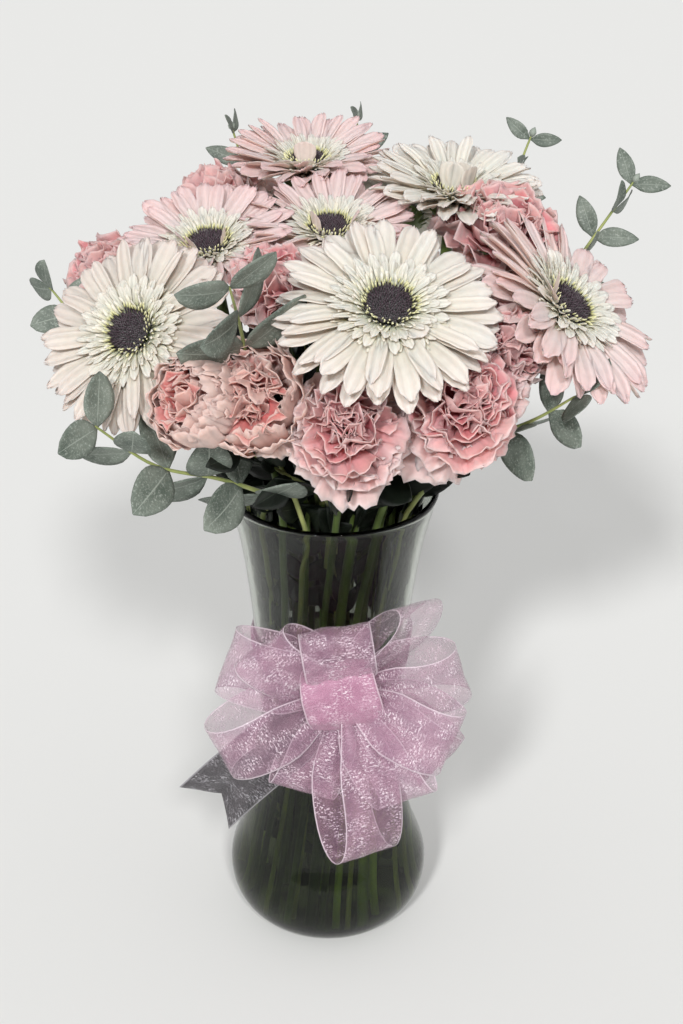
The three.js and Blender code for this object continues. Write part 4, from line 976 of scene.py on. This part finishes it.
for seed, bloom in enumerate(gerberas):
    matrix = bloomFrame(bloom)
    node = f"gerbera_{bloom['name']}"
    label = pieceName("gerbera", bloom["name"])
    addPiece(f"{label}Rays", gerberaRays(bloom, matrix, 31 * seed), f"{node}_rays")
    addPiece(f"{label}Disc", gerberaEye(bloom, matrix, 31 * seed), f"{node}_eye")
    addPiece(f"{label}Stem", gerberaStem(f"{node}_stem", bloom, 31 * seed), f"{node}_stem")
print("gerberas:", len(gerberas))


# `form` is how far a bloom has opened; `hanging` petals droop below it, each [degrees round it, lift, length, width]
carnations = [
    {"name": "left_bud", "at": [-66, -115, 385], "facing": [-30, 30], "radius": 26, "form": "bud", "roll": 0},
    {"name": "front_left", "at": [-40, -108, 386], "facing": [-12, 38], "radius": 31, "form": "half", "roll": 20},
    {"name": "front", "at": [7, -112, 372], "facing": [0, 32], "radius": 29, "form": "open", "roll": 35,
     "hanging": [[-84, -12, 41, 36], [-130, -4, 33, 30]]},
    {"name": "front_right", "at": [62, -101, 381], "facing": [16, 36], "radius": 34, "form": "open", "roll": 10,
     "hanging": [[-124, -14, 44, 40], [-88, -2, 38, 30]]},
    {"name": "right", "at": [84, -76, 400], "facing": [36, 40], "radius": 25, "form": "open", "roll": 50},
    {"name": "right_rear", "at": [86, 0, 430], "facing": [50, 60], "radius": 34, "form": "open", "roll": 25},
    {"name": "centre", "at": [-28, -54, 420], "facing": [-10, 60], "radius": 26, "form": "open", "roll": 5},
    {"name": "far_left", "at": [-118, 10, 400], "facing": [-84, 42], "radius": 28, "form": "open", "roll": 40},
    {"name": "top_left", "at": [-64, 54, 428], "facing": [-120, 62], "radius": 28, "form": "open", "roll": 15},
    {"name": "back_left", "at": [-44, 112, 396], "facing": [-160, 38], "radius": 30, "form": "open", "roll": 30},
    {"name": "back_right", "at": [100, 84, 396], "facing": [128, 38], "radius": 30, "form": "open", "roll": 45},
]
# Rings of petals from the lowest up; sizes are shares of the bloom's radius
carnation = {
    "open": [
        {"count": 7, "radius": 0.08, "height": -0.44, "lift": -2, "length": 1.06, "tone": 0.0},
        {"count": 8, "radius": 0.08, "height": -0.38, "lift": 14, "length": 1.04, "tone": 0.2},
        {"count": 8, "radius": 0.08, "height": -0.32, "lift": 28, "length": 0.98, "tone": 0.45},
        {"count": 8, "radius": 0.07, "height": -0.26, "lift": 42, "length": 0.94, "tone": 0.65},
        {"count": 7, "radius": 0.06, "height": -0.2, "lift": 55, "length": 0.88, "tone": 0.8},
        {"count": 7, "radius": 0.05, "height": -0.16, "lift": 67, "length": 0.82, "tone": 0.9},
        {"count": 6, "radius": 0.03, "height": -0.12, "lift": 80, "length": 0.76, "tone": 0.95},
    ],
    "half": [
        {"count": 6, "radius": 0.1, "height": -0.6, "lift": 6, "length": 1.02, "tone": 0.0},
        {"count": 7, "radius": 0, "height": -0.36, "lift": -18, "length": 0.8, "tone": 0.1, "shell": True},
        {"count": 7, "radius": 0, "height": -0.34, "lift": -10, "length": 0.74, "tone": 0.3, "shell": True},
        {"count": 8, "radius": 0.08, "height": -0.5, "lift": 46, "length": 0.94, "tone": 0.5},
        {"count": 8, "radius": 0.06, "height": -0.44, "lift": 58, "length": 0.92, "tone": 0.7},
        {"count": 7, "radius": 0.04, "height": -0.4, "lift": 70, "length": 0.9, "tone": 0.85},
        {"count": 6, "radius": 0.03, "height": -0.36, "lift": 82, "length": 0.86, "tone": 0.95},
    ],
    "bud": [
        {"count": 7, "radius": 0, "height": -0.32, "lift": -3, "length": 0.82, "tone": 0.0, "shell": True},
        {"count": 7, "radius": 0, "height": -0.32, "lift": 1, "length": 0.77, "tone": 0.15, "shell": True},
        {"count": 6, "radius": 0, "height": -0.32, "lift": 5, "length": 0.71, "tone": 0.4, "shell": True},
        {"count": 7, "radius": 0.06, "height": -0.5, "lift": 62, "length": 0.88, "tone": 0.75},
        {"count": 7, "radius": 0.04, "height": -0.46, "lift": 72, "length": 0.88, "tone": 0.95},
        {"count": 6, "radius": 0.03, "height": -0.44, "lift": 82, "length": 0.84, "tone": 1.0},
    ],
    "unevenness": 0.42,
    "shellUnevenness": 0.126,
    "ruffle": 7.0,
    "shellRuffle": 3.2,
    "edgeSteps": 16,
    "hangingHeight": -0.46,
    "calyxFoot": 0.42,
    "calyxRadius": 5.6,
    "calyxDepth": 26,
    "stemRadius": 1.9,
}


# A fan-shaped petal from a narrow claw to a folded and toothed edge
def fanPetal(seed):
    draw = random.Random(100 + seed)
    fan = math.radians(draw.uniform(66, 92)) / 2
    waves, phase = draw.uniform(1.1, 2.1), draw.uniform(0, 6)
    curl, amplitude = draw.uniform(-0.28, 0.3), draw.uniform(0.1, 0.19)
    teeth = [draw.uniform(0.01, 0.065) for _ in range(carnation["edgeSteps"] + 1)]
    lobes, lag = draw.uniform(2.0, 3.4), draw.uniform(0, 6)
    kinks = [draw.uniform(-0.05, 0.05) for _ in range(carnation["edgeSteps"] + 1)]

    def spot(u, row):
        v = 1 - (1 - row) ** 1.4
        place = round((u + 1) * carnation["edgeSteps"] / 2)
        spread = fan * (0.25 + 0.75 * smoothstep(0.05, 0.7, v)) * u
        tooth = teeth[place] * (1 if place % 2 else 0.15) + 0.035 * (1 + math.sin(lobes * math.pi * u + lag))
        reach = v * (1 - 0.12 * u * u) - tooth * smoothstep(0.8, 1, v)
        wave = amplitude * v**1.5 * math.sin(waves * math.pi * u + phase)
        wave += 0.35 * amplitude * v**2 * math.sin(2.6 * waves * math.pi * u - phase)
        wave += kinks[place] * smoothstep(0.6, 1, v)
        side = 1 - 0.35 * max(curl, 0) * v * v
        return Vector((reach * math.cos(spread) * side, reach * math.sin(spread), wave + curl * v * v))

    return closedSheet(f"fan{seed}", spot, carnation["edgeSteps"], 6, 0.018)


# A petal that still closes round the heart: part of a unit ball, one side over its neighbour, its edge just opening
def shellPetal(seed):
    draw = random.Random(300 + seed)
    low, high = math.radians(132), math.radians(draw.uniform(30, 54))
    half, shape = math.radians(draw.uniform(32, 42)), draw.uniform(0.24, 0.42)
    waves, phase = draw.uniform(1.8, 3.2), draw.uniform(0, 6)
    teeth = [draw.uniform(0.02, 0.12) for _ in range(carnation["edgeSteps"] + 1)]

    def spot(u, v):
        place = round((u + 1) * carnation["edgeSteps"] / 2)
        polar = low + (high - low) * v + shape * u * u * v**2
        polar += teeth[place] * (1 if place % 2 else 0.2) * smoothstep(0.82, 1, v)
        wide = math.sin(polar)
        around = half * u * (0.3 + 0.7 * smoothstep(0, 0.5, v)) / max(wide, 0.6)
        reach = 1 + 0.05 * u + 0.06 * math.sin(waves * math.pi * u + phase) * v + 0.1 * smoothstep(0.7, 1, v)
        return reach * Vector((wide * math.cos(around), wide * math.sin(around), math.cos(polar)))

    return closedSheet(f"shell{seed}", spot, carnation["edgeSteps"], 8, 0.02)


openPetals = variantsOf("openPetals", [fanPetal(seed) for seed in range(9)])
shellPetals = variantsOf("shellPetals", [shellPetal(seed) for seed in range(5)])


def carnationHead(bloom, matrix, seed):
    size = bloom["radius"] * mm
    finish = "rosePetals" if bloom["form"] == "open" else "salmonPetals"
    meshes = []
    for i, ring in enumerate(carnation[bloom["form"]]):
        closed = "shell" in ring
        meshes.append(ringOf(shellPetals if closed else openPetals, matrix, {
            "Count": ring["count"],
            "Radius": ring["radius"] * size,
            "Height": ring["height"] * size,
            "Lift": math.radians(ring["lift"]),
            "Length": (ring["length"] - ring["radius"]) * size,
            "Width": (ring["length"] - ring["radius"]) * size,
            "Unevenness": carnation["shellUnevenness" if closed else "unevenness"],
            "Ruffle": carnation["shellRuffle" if closed else "ruffle"] * mm,
            "Tone": ring["tone"],
        }, finish, seed + 5 * i))
    for i, (turn, lift, length, width) in enumerate(bloom.get("hanging", [])):
        petal = fanPetal(50 + seed + i)
        petal.materials.append(finishes[finish])
        place = petalPlace(turn - bloom["roll"], lift, length, width, 0.0, carnation["hangingHeight"] * size)
        meshes.append(placed(petal, matrix @ place))
    return meshes


def carnationStem(node, bloom):
    thick, wide, depth = (carnation[key] for key in ("stemRadius", "calyxRadius", "calyxDepth"))
    foot = carnation["calyxFoot"] * bloom["radius"]
    cup = [(foot + depth, thick + 0.6), (foot + depth - 3, wide - 0.6), (foot + 8, wide), (foot, wide + 1.2)]
    return [bloomStem(node, bloom, cup, thick)]


for seed, bloom in enumerate(carnations):
    matrix = bloomFrame(bloom)
    node = f"carnation_{bloom['name']}"
    label = pieceName("carnation", bloom["name"])
    addPiece(f"{label}Petals", carnationHead(bloom, matrix, 500 + 31 * seed), f"{node}_petals")
    addPiece(f"{label}Stem", carnationStem(f"{node}_stem", bloom), f"{node}_stem")
print("carnations:", len(carnations))


# Leafy sprigs: `route` is what shows above the mouth, in mm

# What a sprig is where its own row doesn't say otherwise
leafyStem = {
    "first": 0.08,
    "tipShare": 0.75,
    "narrowTipShare": 0.6,
    "lean": 28,
    "cross": 80,
    "unevenness": 0.22,
    "twig": 1.3,
    "stem": 1.4,
    "steps": 8,
    "bud": 5.5,
    "domeCentre": [0, 0, 345],
}
eucalyptus = [
    {"name": "front_left", "route": [[-25, -60, 306], [-54, -86, 330], [-84, -104, 346], [-110, -116, 372]],
     "pairs": 6, "leaf": 34, "lean": 34},
    {"name": "centre", "route": [[-40, -76, 372], [-42, -98, 410], [-46, -121, 443]], "pairs": 3, "leaf": 40,
     "first": 0.42, "face": [0.1, -0.75, 0.65], "cross": 34},
    {"name": "far_left", "route": [[-92, -20, 350], [-126, -16, 378], [-146, -6, 398]], "pairs": 5, "leaf": 28},
    {"name": "top_left", "route": [[-36, 50, 372], [-50, 92, 424], [-58, 98, 452]], "pairs": 6, "leaf": 30,
     "lean": 40, "face": [0, -0.85, 0.5], "narrow": True},
    {"name": "top", "route": [[12, 66, 372], [12, 112, 430], [10, 118, 454]], "pairs": 6, "leaf": 28,
     "lean": 34, "face": [0, -0.85, 0.5], "narrow": True},
    {"name": "top_right", "route": [[56, 52, 372], [90, 72, 422], [104, 80, 456]], "pairs": 7, "leaf": 28,
     "lean": 16, "face": [0, -0.85, 0.5], "narrow": True},
    {"name": "far_right", "route": [[92, 4, 360], [128, 22, 410], [153, 30, 447]], "pairs": 7, "leaf": 35,
     "lean": 38, "face": [0, -0.85, 0.5], "narrow": True},
    {"name": "low_right", "route": [[66, -48, 332], [96, -72, 357], [115, -88, 378]], "pairs": 5, "leaf": 33},
]


# A leaf on a short stalk: `plump` is its width to its length, `blunt` rounds its tip
def leafBlade(name, seed, plump, blunt):
    draw = random.Random(200 + seed)
    crease, droop = draw.uniform(0.08, 0.26), draw.uniform(0.05, 0.3)
    bend, wave = draw.uniform(-0.1, 0.1), draw.uniform(0.0, 0.02)

    def spot(u, v):
        body = max((v - 0.07) / 0.93, 0.0)
        half = 0.5 * plump * (math.sin(math.pi * body**0.8) ** blunt if 0 < body < 1 else 0) + 0.012
        z = 0.18 * v - droop * v * v + crease * abs(half * u) + wave * math.sin(9 * v + 2 * u) * abs(u)
        return Vector((v, half * u + bend * v * v, z))

    return closedSheet(f"{name}{seed}", spot, 6, 9, 0.02)


roundLeaves = variantsOf("roundLeaves", [leafBlade("roundLeaf", seed, 0.64, 0.6) for seed in range(5)])
narrowLeaves = variantsOf("narrowLeaves", [leafBlade("narrowLeaf", 10 + seed, 0.42, 0.75) for seed in range(5)])
darkLeaves = variantsOf("darkLeaves", [leafBlade("shadeDarkLeaf", 20 + seed, 0.46, 0.9) for seed in range(5)])


# Leaves face outwards from the middle of the dome of blooms, or as `face` says
def sprigOf(route, leaves, finish, row, seed):
    points = smoothPath([Vector(point) * mm for point in route], leafyStem["steps"])
    outwards = points[len(points) // 2] - Vector(leafyStem["domeCentre"]) * mm
    return grown(leafySprig, {
        "Leaves": leaves,
        "Pairs": row["pairs"],
        "First Pair": row["first"],
        "Leaf Length": row["leaf"] * mm,
        "Tip Share": row["tipShare"],
        "Lean": math.radians(row["lean"]),
        "Face": Vector(row["face"]) if "face" in row else outwards.normalized(),
        "Cross Turn": math.radians(row["cross"]),
        "Twig Radius": row["twig"] * mm,
        "Unevenness": row["unevenness"],
        "Seed": seed,
        "Leaf Finish": finishes[finish],
        "Twig Finish": finishes["twig"],
    }, lineMesh(points))


def sprigStem(node, route, thick):
    line = stemLine(node, [Vector(route[0]) * mm])
    values = {"Sides": stems["twigSides"], "Finish": finishes["twig"]}
    return grown(stemTube, values, lineMesh(line, [thick * mm] * len(line)))


# The closed bud that a narrow-leaved sprig ends in
def tipBud(route):
    before, tip = (Vector(point) * mm for point in route[-2:])
    bud = peg("tipBud", [0.16, 0.34, 0.36, 0.22], 8)
    bud.materials.append(finishes["eucalyptus"])
    turn = up.rotation_difference(tip - before).to_matrix().to_4x4()
    return placed(bud, Matrix.Translation(tip) @ turn @ Matrix.Scale(leafyStem["bud"] * mm, 4))


for seed, own in enumerate(eucalyptus):
    sprig = {**leafyStem, **own}
    leaves = roundLeaves
    if "narrow" in sprig:
        leaves = narrowLeaves
        sprig["tipShare"] = sprig["narrowTipShare"]
    node = f"eucalyptus_{sprig['name']}"
    leafy = sprigOf(sprig["route"], leaves, "eucalyptus", sprig, seed)
    buds = [tipBud(sprig["route"])] if "narrow" in sprig else []
    stem = sprigStem(node, sprig["route"], sprig["stem"])
    addPiece(pieceName("eucalyptus", sprig["name"]), [leafy, *buds, stem], node)
print("eucalyptus sprigs:", len(eucalyptus))


# Dark greenery that fills the collar between the blooms and the rim, and some that hangs on in the vase; its
# near-black colour is partly the leaves' own and partly painted shade that darkens the band under the blooms and the
# vase's depths
darkFoliage = {
    "front": {
        "routes": [
            [[-4, -50, 304], [0, -74, 330], [6, -92, 344]],
            [[-4, -50, 304], [-26, -68, 326], [-44, -82, 346]],
            [[-4, -50, 304], [30, -62, 326], [54, -80, 346]],
        ],
        "bearings": (180, 360),
    },
    "back": {
        "routes": [
            [[4, 46, 304], [-3, 73, 326], [-10, 98, 348]],
            [[4, 46, 304], [-45, 45, 326], [-85, 45, 346]],
            [[4, 46, 304], [46, 33, 326], [81, 23, 346]],
        ],
        "bearings": (0, 180),
    },
    "collar": {**leafyStem, "count": 15, "pairs": 4, "leaf": 38, "tipShare": 0.8, "lean": 44, "stem": 1.5},
    "inVase": {
        "sprig": {**leafyStem, "pairs": 4, "leaf": 21, "tipShare": 0.8, "cross": 8, "twig": 0.9, "rise": 27},
        "front": [
            {"count": 4, "bearings": (185, 355), "low": (25, 110), "reaches": [10, 12, 12], "lean": 44},
            {"count": 5, "bearings": (180, 222), "low": (183, 203), "reaches": [35.5, 38, 41.5], "lean": 74},
            {"count": 5, "bearings": (318, 360), "low": (183, 203), "reaches": [35.5, 38, 41.5], "lean": 74},
            {"count": 5, "bearings": (180, 222), "low": (222, 238), "reaches": [38, 41.5, 47], "lean": 74},
            {"count": 5, "bearings": (318, 360), "low": (222, 238), "reaches": [38, 41.5, 47], "lean": 74},
            {"count": 3, "bearings": (235, 305), "low": (188, 232), "reaches": [26, 28, 31], "lean": 60},
        ],
        "back": [
            {"count": 18, "bearings": (0, 180), "low": (14, 110), "reaches": [22, 30, 27], "lean": 44},
            {"count": 17, "bearings": (0, 180), "low": (183, 203), "reaches": [35.5, 38, 41.5], "lean": 66},
            {"count": 17, "bearings": (0, 180), "low": (222, 238), "reaches": [38, 41.5, 47], "lean": 66},
        ],
    },
}


# Directions from one bearing to another, unevenly spaced
def sidesBetween(first, last, count, draw):
    for i in range(count):
        bearing = math.radians(first + (last - first) * (i + draw.uniform(0.2, 0.8)) / count)
        yield Vector((math.cos(bearing), math.sin(bearing), 0))


# Routes out over the rim, each through three points of [reach, height]
def collarRoutes(bearings, draw):
    routes = []
    for side in sidesBetween(*bearings, darkFoliage["collar"]["count"], draw):
        spread = draw.uniform(0.85, 1.1)
        lift = draw.uniform(-14, 16)
        heights = ((20, 262), (38, 300 + lift / 2), (66 * spread, 344 + lift))
        routes.append([[*(side * reach).xy, z] for reach, z in heights])
    return routes


# Routes up the inside of the vase: `low` is where they start and `reaches` how far out they pass
def vaseRoutes(row, draw):
    routes = []
    rise = darkFoliage["inVase"]["sprig"]["rise"]
    for side in sidesBetween(*row["bearings"], row["count"], draw):
        low = draw.uniform(*row["low"])
        routes.append([[*(side * reach).xy, low + rise * step] for step, reach in enumerate(row["reaches"])])
    return routes


for seed, name in enumerate(("front", "back")):
    draw = random.Random(70 + seed)
    part, collar, inVase = darkFoliage[name], darkFoliage["collar"], darkFoliage["inVase"]
    rows = [(collar, [*part["routes"], *collarRoutes(part["bearings"], draw)])]
    rows += [({**inVase["sprig"], **row}, vaseRoutes(row, draw)) for row in inVase[name]]
    meshes = []
    for row, routes in rows:
        meshes += [sprigOf(route, darkLeaves, "shadeDarkLeaf", row, 40 * seed + i) for i, route in enumerate(routes)]
    meshes.append(sprigStem(f"foliage_{name}", part["routes"][0], collar["stem"]))
    addPiece(pieceName("foliage", name), meshes, f"foliage_{name}")
print("dark greenery made")


# Bow: loops of one wired ribbon, pinched at the knot, with a notched tail
# `turn` is degrees anticlockwise from the right, `lean` degrees forward
# `roll` turns the ribbon's face about the loop

bow = {
    "width": 38,
    "pinch": 13,
    "thickness": 0.3,
    "across": 12,
    "along": 36,
    "puff": 1.3,
    "pleat": 2.6,
    "sag": 1.6,
    "waver": 1.5,
    "knotHeight": 189,
    "knotAside": 8,
    "knotGap": 1.7,
    "knotDepth": 12,
    "loops": [
        {"turn": 57, "length": 72, "belly": 8, "lean": 10, "roll": 48},
        {"turn": 14, "length": 66, "belly": 11, "lean": 4, "roll": 12},
        {"turn": 322, "length": 70, "belly": 11, "lean": 6, "roll": -10},
        {"turn": 300, "length": 74, "belly": 9, "lean": 12, "roll": 12},
        {"turn": 250, "length": 68, "belly": 8, "lean": 6, "roll": -6},
        {"turn": 160, "length": 68, "belly": 11, "lean": 8, "roll": 8},
        {"turn": 204, "length": 76, "belly": 13, "lean": 14, "roll": -8},
        {"turn": 140, "length": 62, "belly": 10, "lean": 20, "roll": -12},
        {"turn": 96, "length": 58, "belly": 11, "lean": 28, "roll": 6},
        {"turn": 343, "length": 66, "belly": 13, "lean": 22, "roll": -6},
        {"turn": 278, "length": 94, "belly": 16, "lean": 20, "roll": -36},
    ],
    "tail": {"turn": 226, "length": 112, "lean": 2, "notch": 15, "roll": 6, "fullAt": 0.8, "along": 24, "seed": 21},
    "wrap": {"turn": 102, "lean": 18, "ahead": 9, "raised": 6, "width": 42, "high": 48, "deep": 24,
             "squeeze": 0.1, "crease": 1.6, "across": 10, "along": 40},
    "band": {"low": 177, "high": 195, "folds": 5, "foldDepth": 1.1, "gap": 0.6, "sway": 1.5,
             "across": 24, "along": 96},
}
knotBack = vaseRadius(bow["knotHeight"]) + bow["knotGap"] + bow["knotDepth"]
knotCentre = Matrix.Rotation(math.radians(bow["knotAside"]), 4, "Z") @ Vector((0, -knotBack, bow["knotHeight"]))


# The bow's own axes for a loop: outwards, to the front, and across the ribbon
def loopAxes(turn, lean, roll):
    a, l = math.radians(turn), math.radians(lean)
    ahead = Vector((math.cos(a) * math.cos(l), -math.sin(l), math.sin(a) * math.cos(l)))
    forward = (Vector((0, -1, 0)) + ahead * ahead.y).normalized()
    forward.rotate(Matrix.Rotation(math.radians(roll), 3, ahead))
    return ahead, forward, ahead.cross(forward)


# Ribbon along a path of (x out from the knot, y to the front); it gathers into pleats where it nears the knot
def ribbonSheet(name, path, axes, reach, steps, seed, notch=0.0):
    ahead, forward, across = axes
    full, pinch = bow["width"] / 2, bow["pinch"] / 2

    def spot(u, v):
        x, y = path(v)
        share = min(x / reach, 1.0)
        half = pinch + (full - pinch) * smoothstep(0.0, 0.55, share)
        pleats = bow["pleat"] * (1 - smoothstep(0.05, 0.7, share)) * math.sin(3.2 * math.pi * u + seed)
        sag = bow["sag"] * noise.noise(Vector((3 * share, 1.5 * u, seed * 3.1)))
        x -= notch * (1 - abs(u)) * smoothstep(0.72, 1.0, v)
        x += bow["waver"] * noise.noise(Vector((2 * v, u, seed * 1.7))) * share
        return (knotCentre + ahead * x + forward * (y + pleats + sag) + across * half * u) * mm

    points = [path(i / 60) for i in range(61)]
    length = sum(math.dist(a, b) for a, b in zip(points, points[1:]))
    mesh = closedSheet(name, spot, bow["across"], steps, bow["thickness"] * mm, (bow["width"], length), False)
    return mesh, length


def addRibbon(name, mesh, length, finish="organza", width=bow["width"], node="bow"):
    piece = addPiece(name, [mesh], node, finish)


for seed, loop in enumerate(bow["loops"]):
    def loopPath(v, loop=loop):
        u = 2 * math.pi * v
        return loop["length"] * (1 - math.cos(u)) / 2, bow["puff"] * loop["belly"] * math.sin(u) * math.sin(u / 2)

    axes = loopAxes(loop["turn"], loop["lean"], loop["roll"])
    name = f"bowLoop{seed + 1}"
    mesh, length = ribbonSheet(name, loopPath, axes, loop["length"], bow["along"], seed + 1)
    addRibbon(name, mesh, length)


def tailPath(v):
    return bow["tail"]["length"] * v, -3 * math.sin(math.pi * v) + 2 * math.sin(5 * v)


tail = bow["tail"]
axes = loopAxes(tail["turn"], tail["lean"], tail["roll"])
reach = tail["length"] * tail["fullAt"]
mesh, length = ribbonSheet("bowTail", tailPath, axes, reach, tail["along"], tail["seed"], tail["notch"])
addRibbon("bowTail", mesh, length, "shadedGreyOrganza")


# The middle loop: a short puffed loop of the same ribbon that stands out in front of the knot
def wrapMesh():
    wrap = bow["wrap"]
    ahead, forward, across = loopAxes(wrap["turn"], wrap["lean"], 0)
    middle = knotCentre + forward * wrap["ahead"] + ahead * wrap["raised"]

    def spot(u, v):
        angle = 2 * math.pi * v
        x, y = wrap["high"] / 2 * math.cos(angle), wrap["deep"] / 2 * math.sin(angle)
        half = wrap["width"] / 2 * (1 - wrap["squeeze"] * (1 - math.sin(angle)))
        crease = wrap["crease"] * noise.noise(Vector((math.cos(angle) * 2, math.sin(angle) * 2, u * 1.2)))
        squeeze = 1 - wrap["squeeze"] * u * u
        return (middle + ahead * x * squeeze + forward * (y * squeeze + crease) + across * half * u) * mm

    high, deep = wrap["high"] / 2, wrap["deep"] / 2
    length = math.pi * (3 * (high + deep) - math.sqrt((3 * high + deep) * (high + 3 * deep)))
    size, thickness = (wrap["width"], length), bow["thickness"] * mm
    return closedSheet("bowWrap", spot, wrap["across"], wrap["along"], thickness, size, False), length


mesh, length = wrapMesh()
addRibbon("bowWrap", mesh, length, "wrapOrganza", bow["wrap"]["width"])


# The same ribbon gathered into folds round the vase's neck
def neckBandMesh():
    band = bow["band"]
    middle, half = (band["low"] + band["high"]) / 2, (band["high"] - band["low"]) / 2

    def spot(u, v):
        angle = 2 * math.pi * v
        fold = band["foldDepth"] * (1 + math.sin(band["folds"] * math.pi * u + 2 * math.sin(angle) + angle))
        z = middle + half * u + band["sway"] * math.sin(angle + u)
        radius = vaseRadius(z) + band["gap"] + fold
        return Vector((radius * math.cos(angle), radius * math.sin(angle), z)) * mm

    length = 2 * math.pi * (vaseRadius(middle) + 1.5)
    size, thickness = (bow["width"], length), bow["thickness"] * mm
    return closedSheet("neckBand", spot, band["across"], band["along"], thickness, size, False), length


mesh, length = neckBandMesh()
addRibbon("neckBand", mesh, length, node="neck_band")
print("bow: ribbon loops", len(bow["loops"]))


# What only served to make the pieces goes
for variants in shapeSets:
    for shape in list(variants.objects):
        bpy.data.objects.remove(shape)
    bpy.data.collections.remove(variants)


# Studio: a seamless pale sheet, two soft suns behind and above the viewer and an even white sky

studio = {
    "floorSize": 24,
    "floor": "#e4e4e2",
    "world": "#ffffff",
    "worldStrength": 0.44,
    "keys": [
        {"elevation": 35, "aside": -16, "spread": 6, "strength": 1.9},
        {"elevation": 38, "aside": 9, "spread": 7, "strength": 1.4},
    ],
}
floorMesh = bpy.data.meshes.new("floor")
edge = studio["floorSize"] / 2
floorMesh.from_pydata([(-edge, -edge, 0), (edge, -edge, 0), (edge, edge, 0), (-edge, edge, 0)], [], [(0, 1, 2, 3)])
floor = bpy.data.objects.new("floor", floorMesh)
scene.collection.objects.link(floor)
paper, _, _ = newFinish("seamlessPaper", {"Base Color": linear(studio["floor"]), "Roughness": 0.9})
floorMesh.materials.append(paper)

world = bpy.data.worlds.new("studioWorld")
world.use_nodes = True
background = world.node_tree.nodes["Background"]
background.inputs["Color"].default_value = linear(studio["world"])
background.inputs["Strength"].default_value = studio["worldStrength"]
scene.world = world

for i, key in enumerate(studio["keys"]):
    keyData = bpy.data.lights.new(f"key{i + 1}", "SUN")
    keyData.angle = math.radians(key["spread"])
    keyData.energy = key["strength"]
    keyLight = bpy.data.objects.new(f"key{i + 1}", keyData)
    keyLight.rotation_euler = (math.radians(90 - key["elevation"]), 0, math.radians(key["aside"]))
    scene.collection.objects.link(keyLight)

# Camera: above the bouquet and in front, looking down 28 degrees
view = {"at": [5, -849, 717], "down": 27.9, "roll": 0.9, "lens": 61.5, "sensor": 36}
down, roll = math.radians(view["down"]), math.radians(view["roll"])
ahead = Vector((0, math.cos(down), -math.sin(down)))
level, above = Vector((1, 0, 0)), Vector((0, math.sin(down), math.cos(down)))
right = math.cos(roll) * level + math.sin(roll) * above
cameraUp = -math.sin(roll) * level + math.cos(roll) * above
cameraData = bpy.data.cameras.new("camera")
cameraData.lens = view["lens"]
cameraData.sensor_width = view["sensor"]
camera = bpy.data.objects.new("camera", cameraData)
axes = Matrix((right, cameraUp, -ahead)).transposed().to_4x4()
camera.matrix_world = Matrix.Translation(Vector(view["at"]) * mm) @ axes
scene.collection.objects.link(camera)
scene.camera = camera
scene.view_settings.view_transform = "Standard"
scene.cycles.transparent_max_bounces = 64
print("studio and camera set")
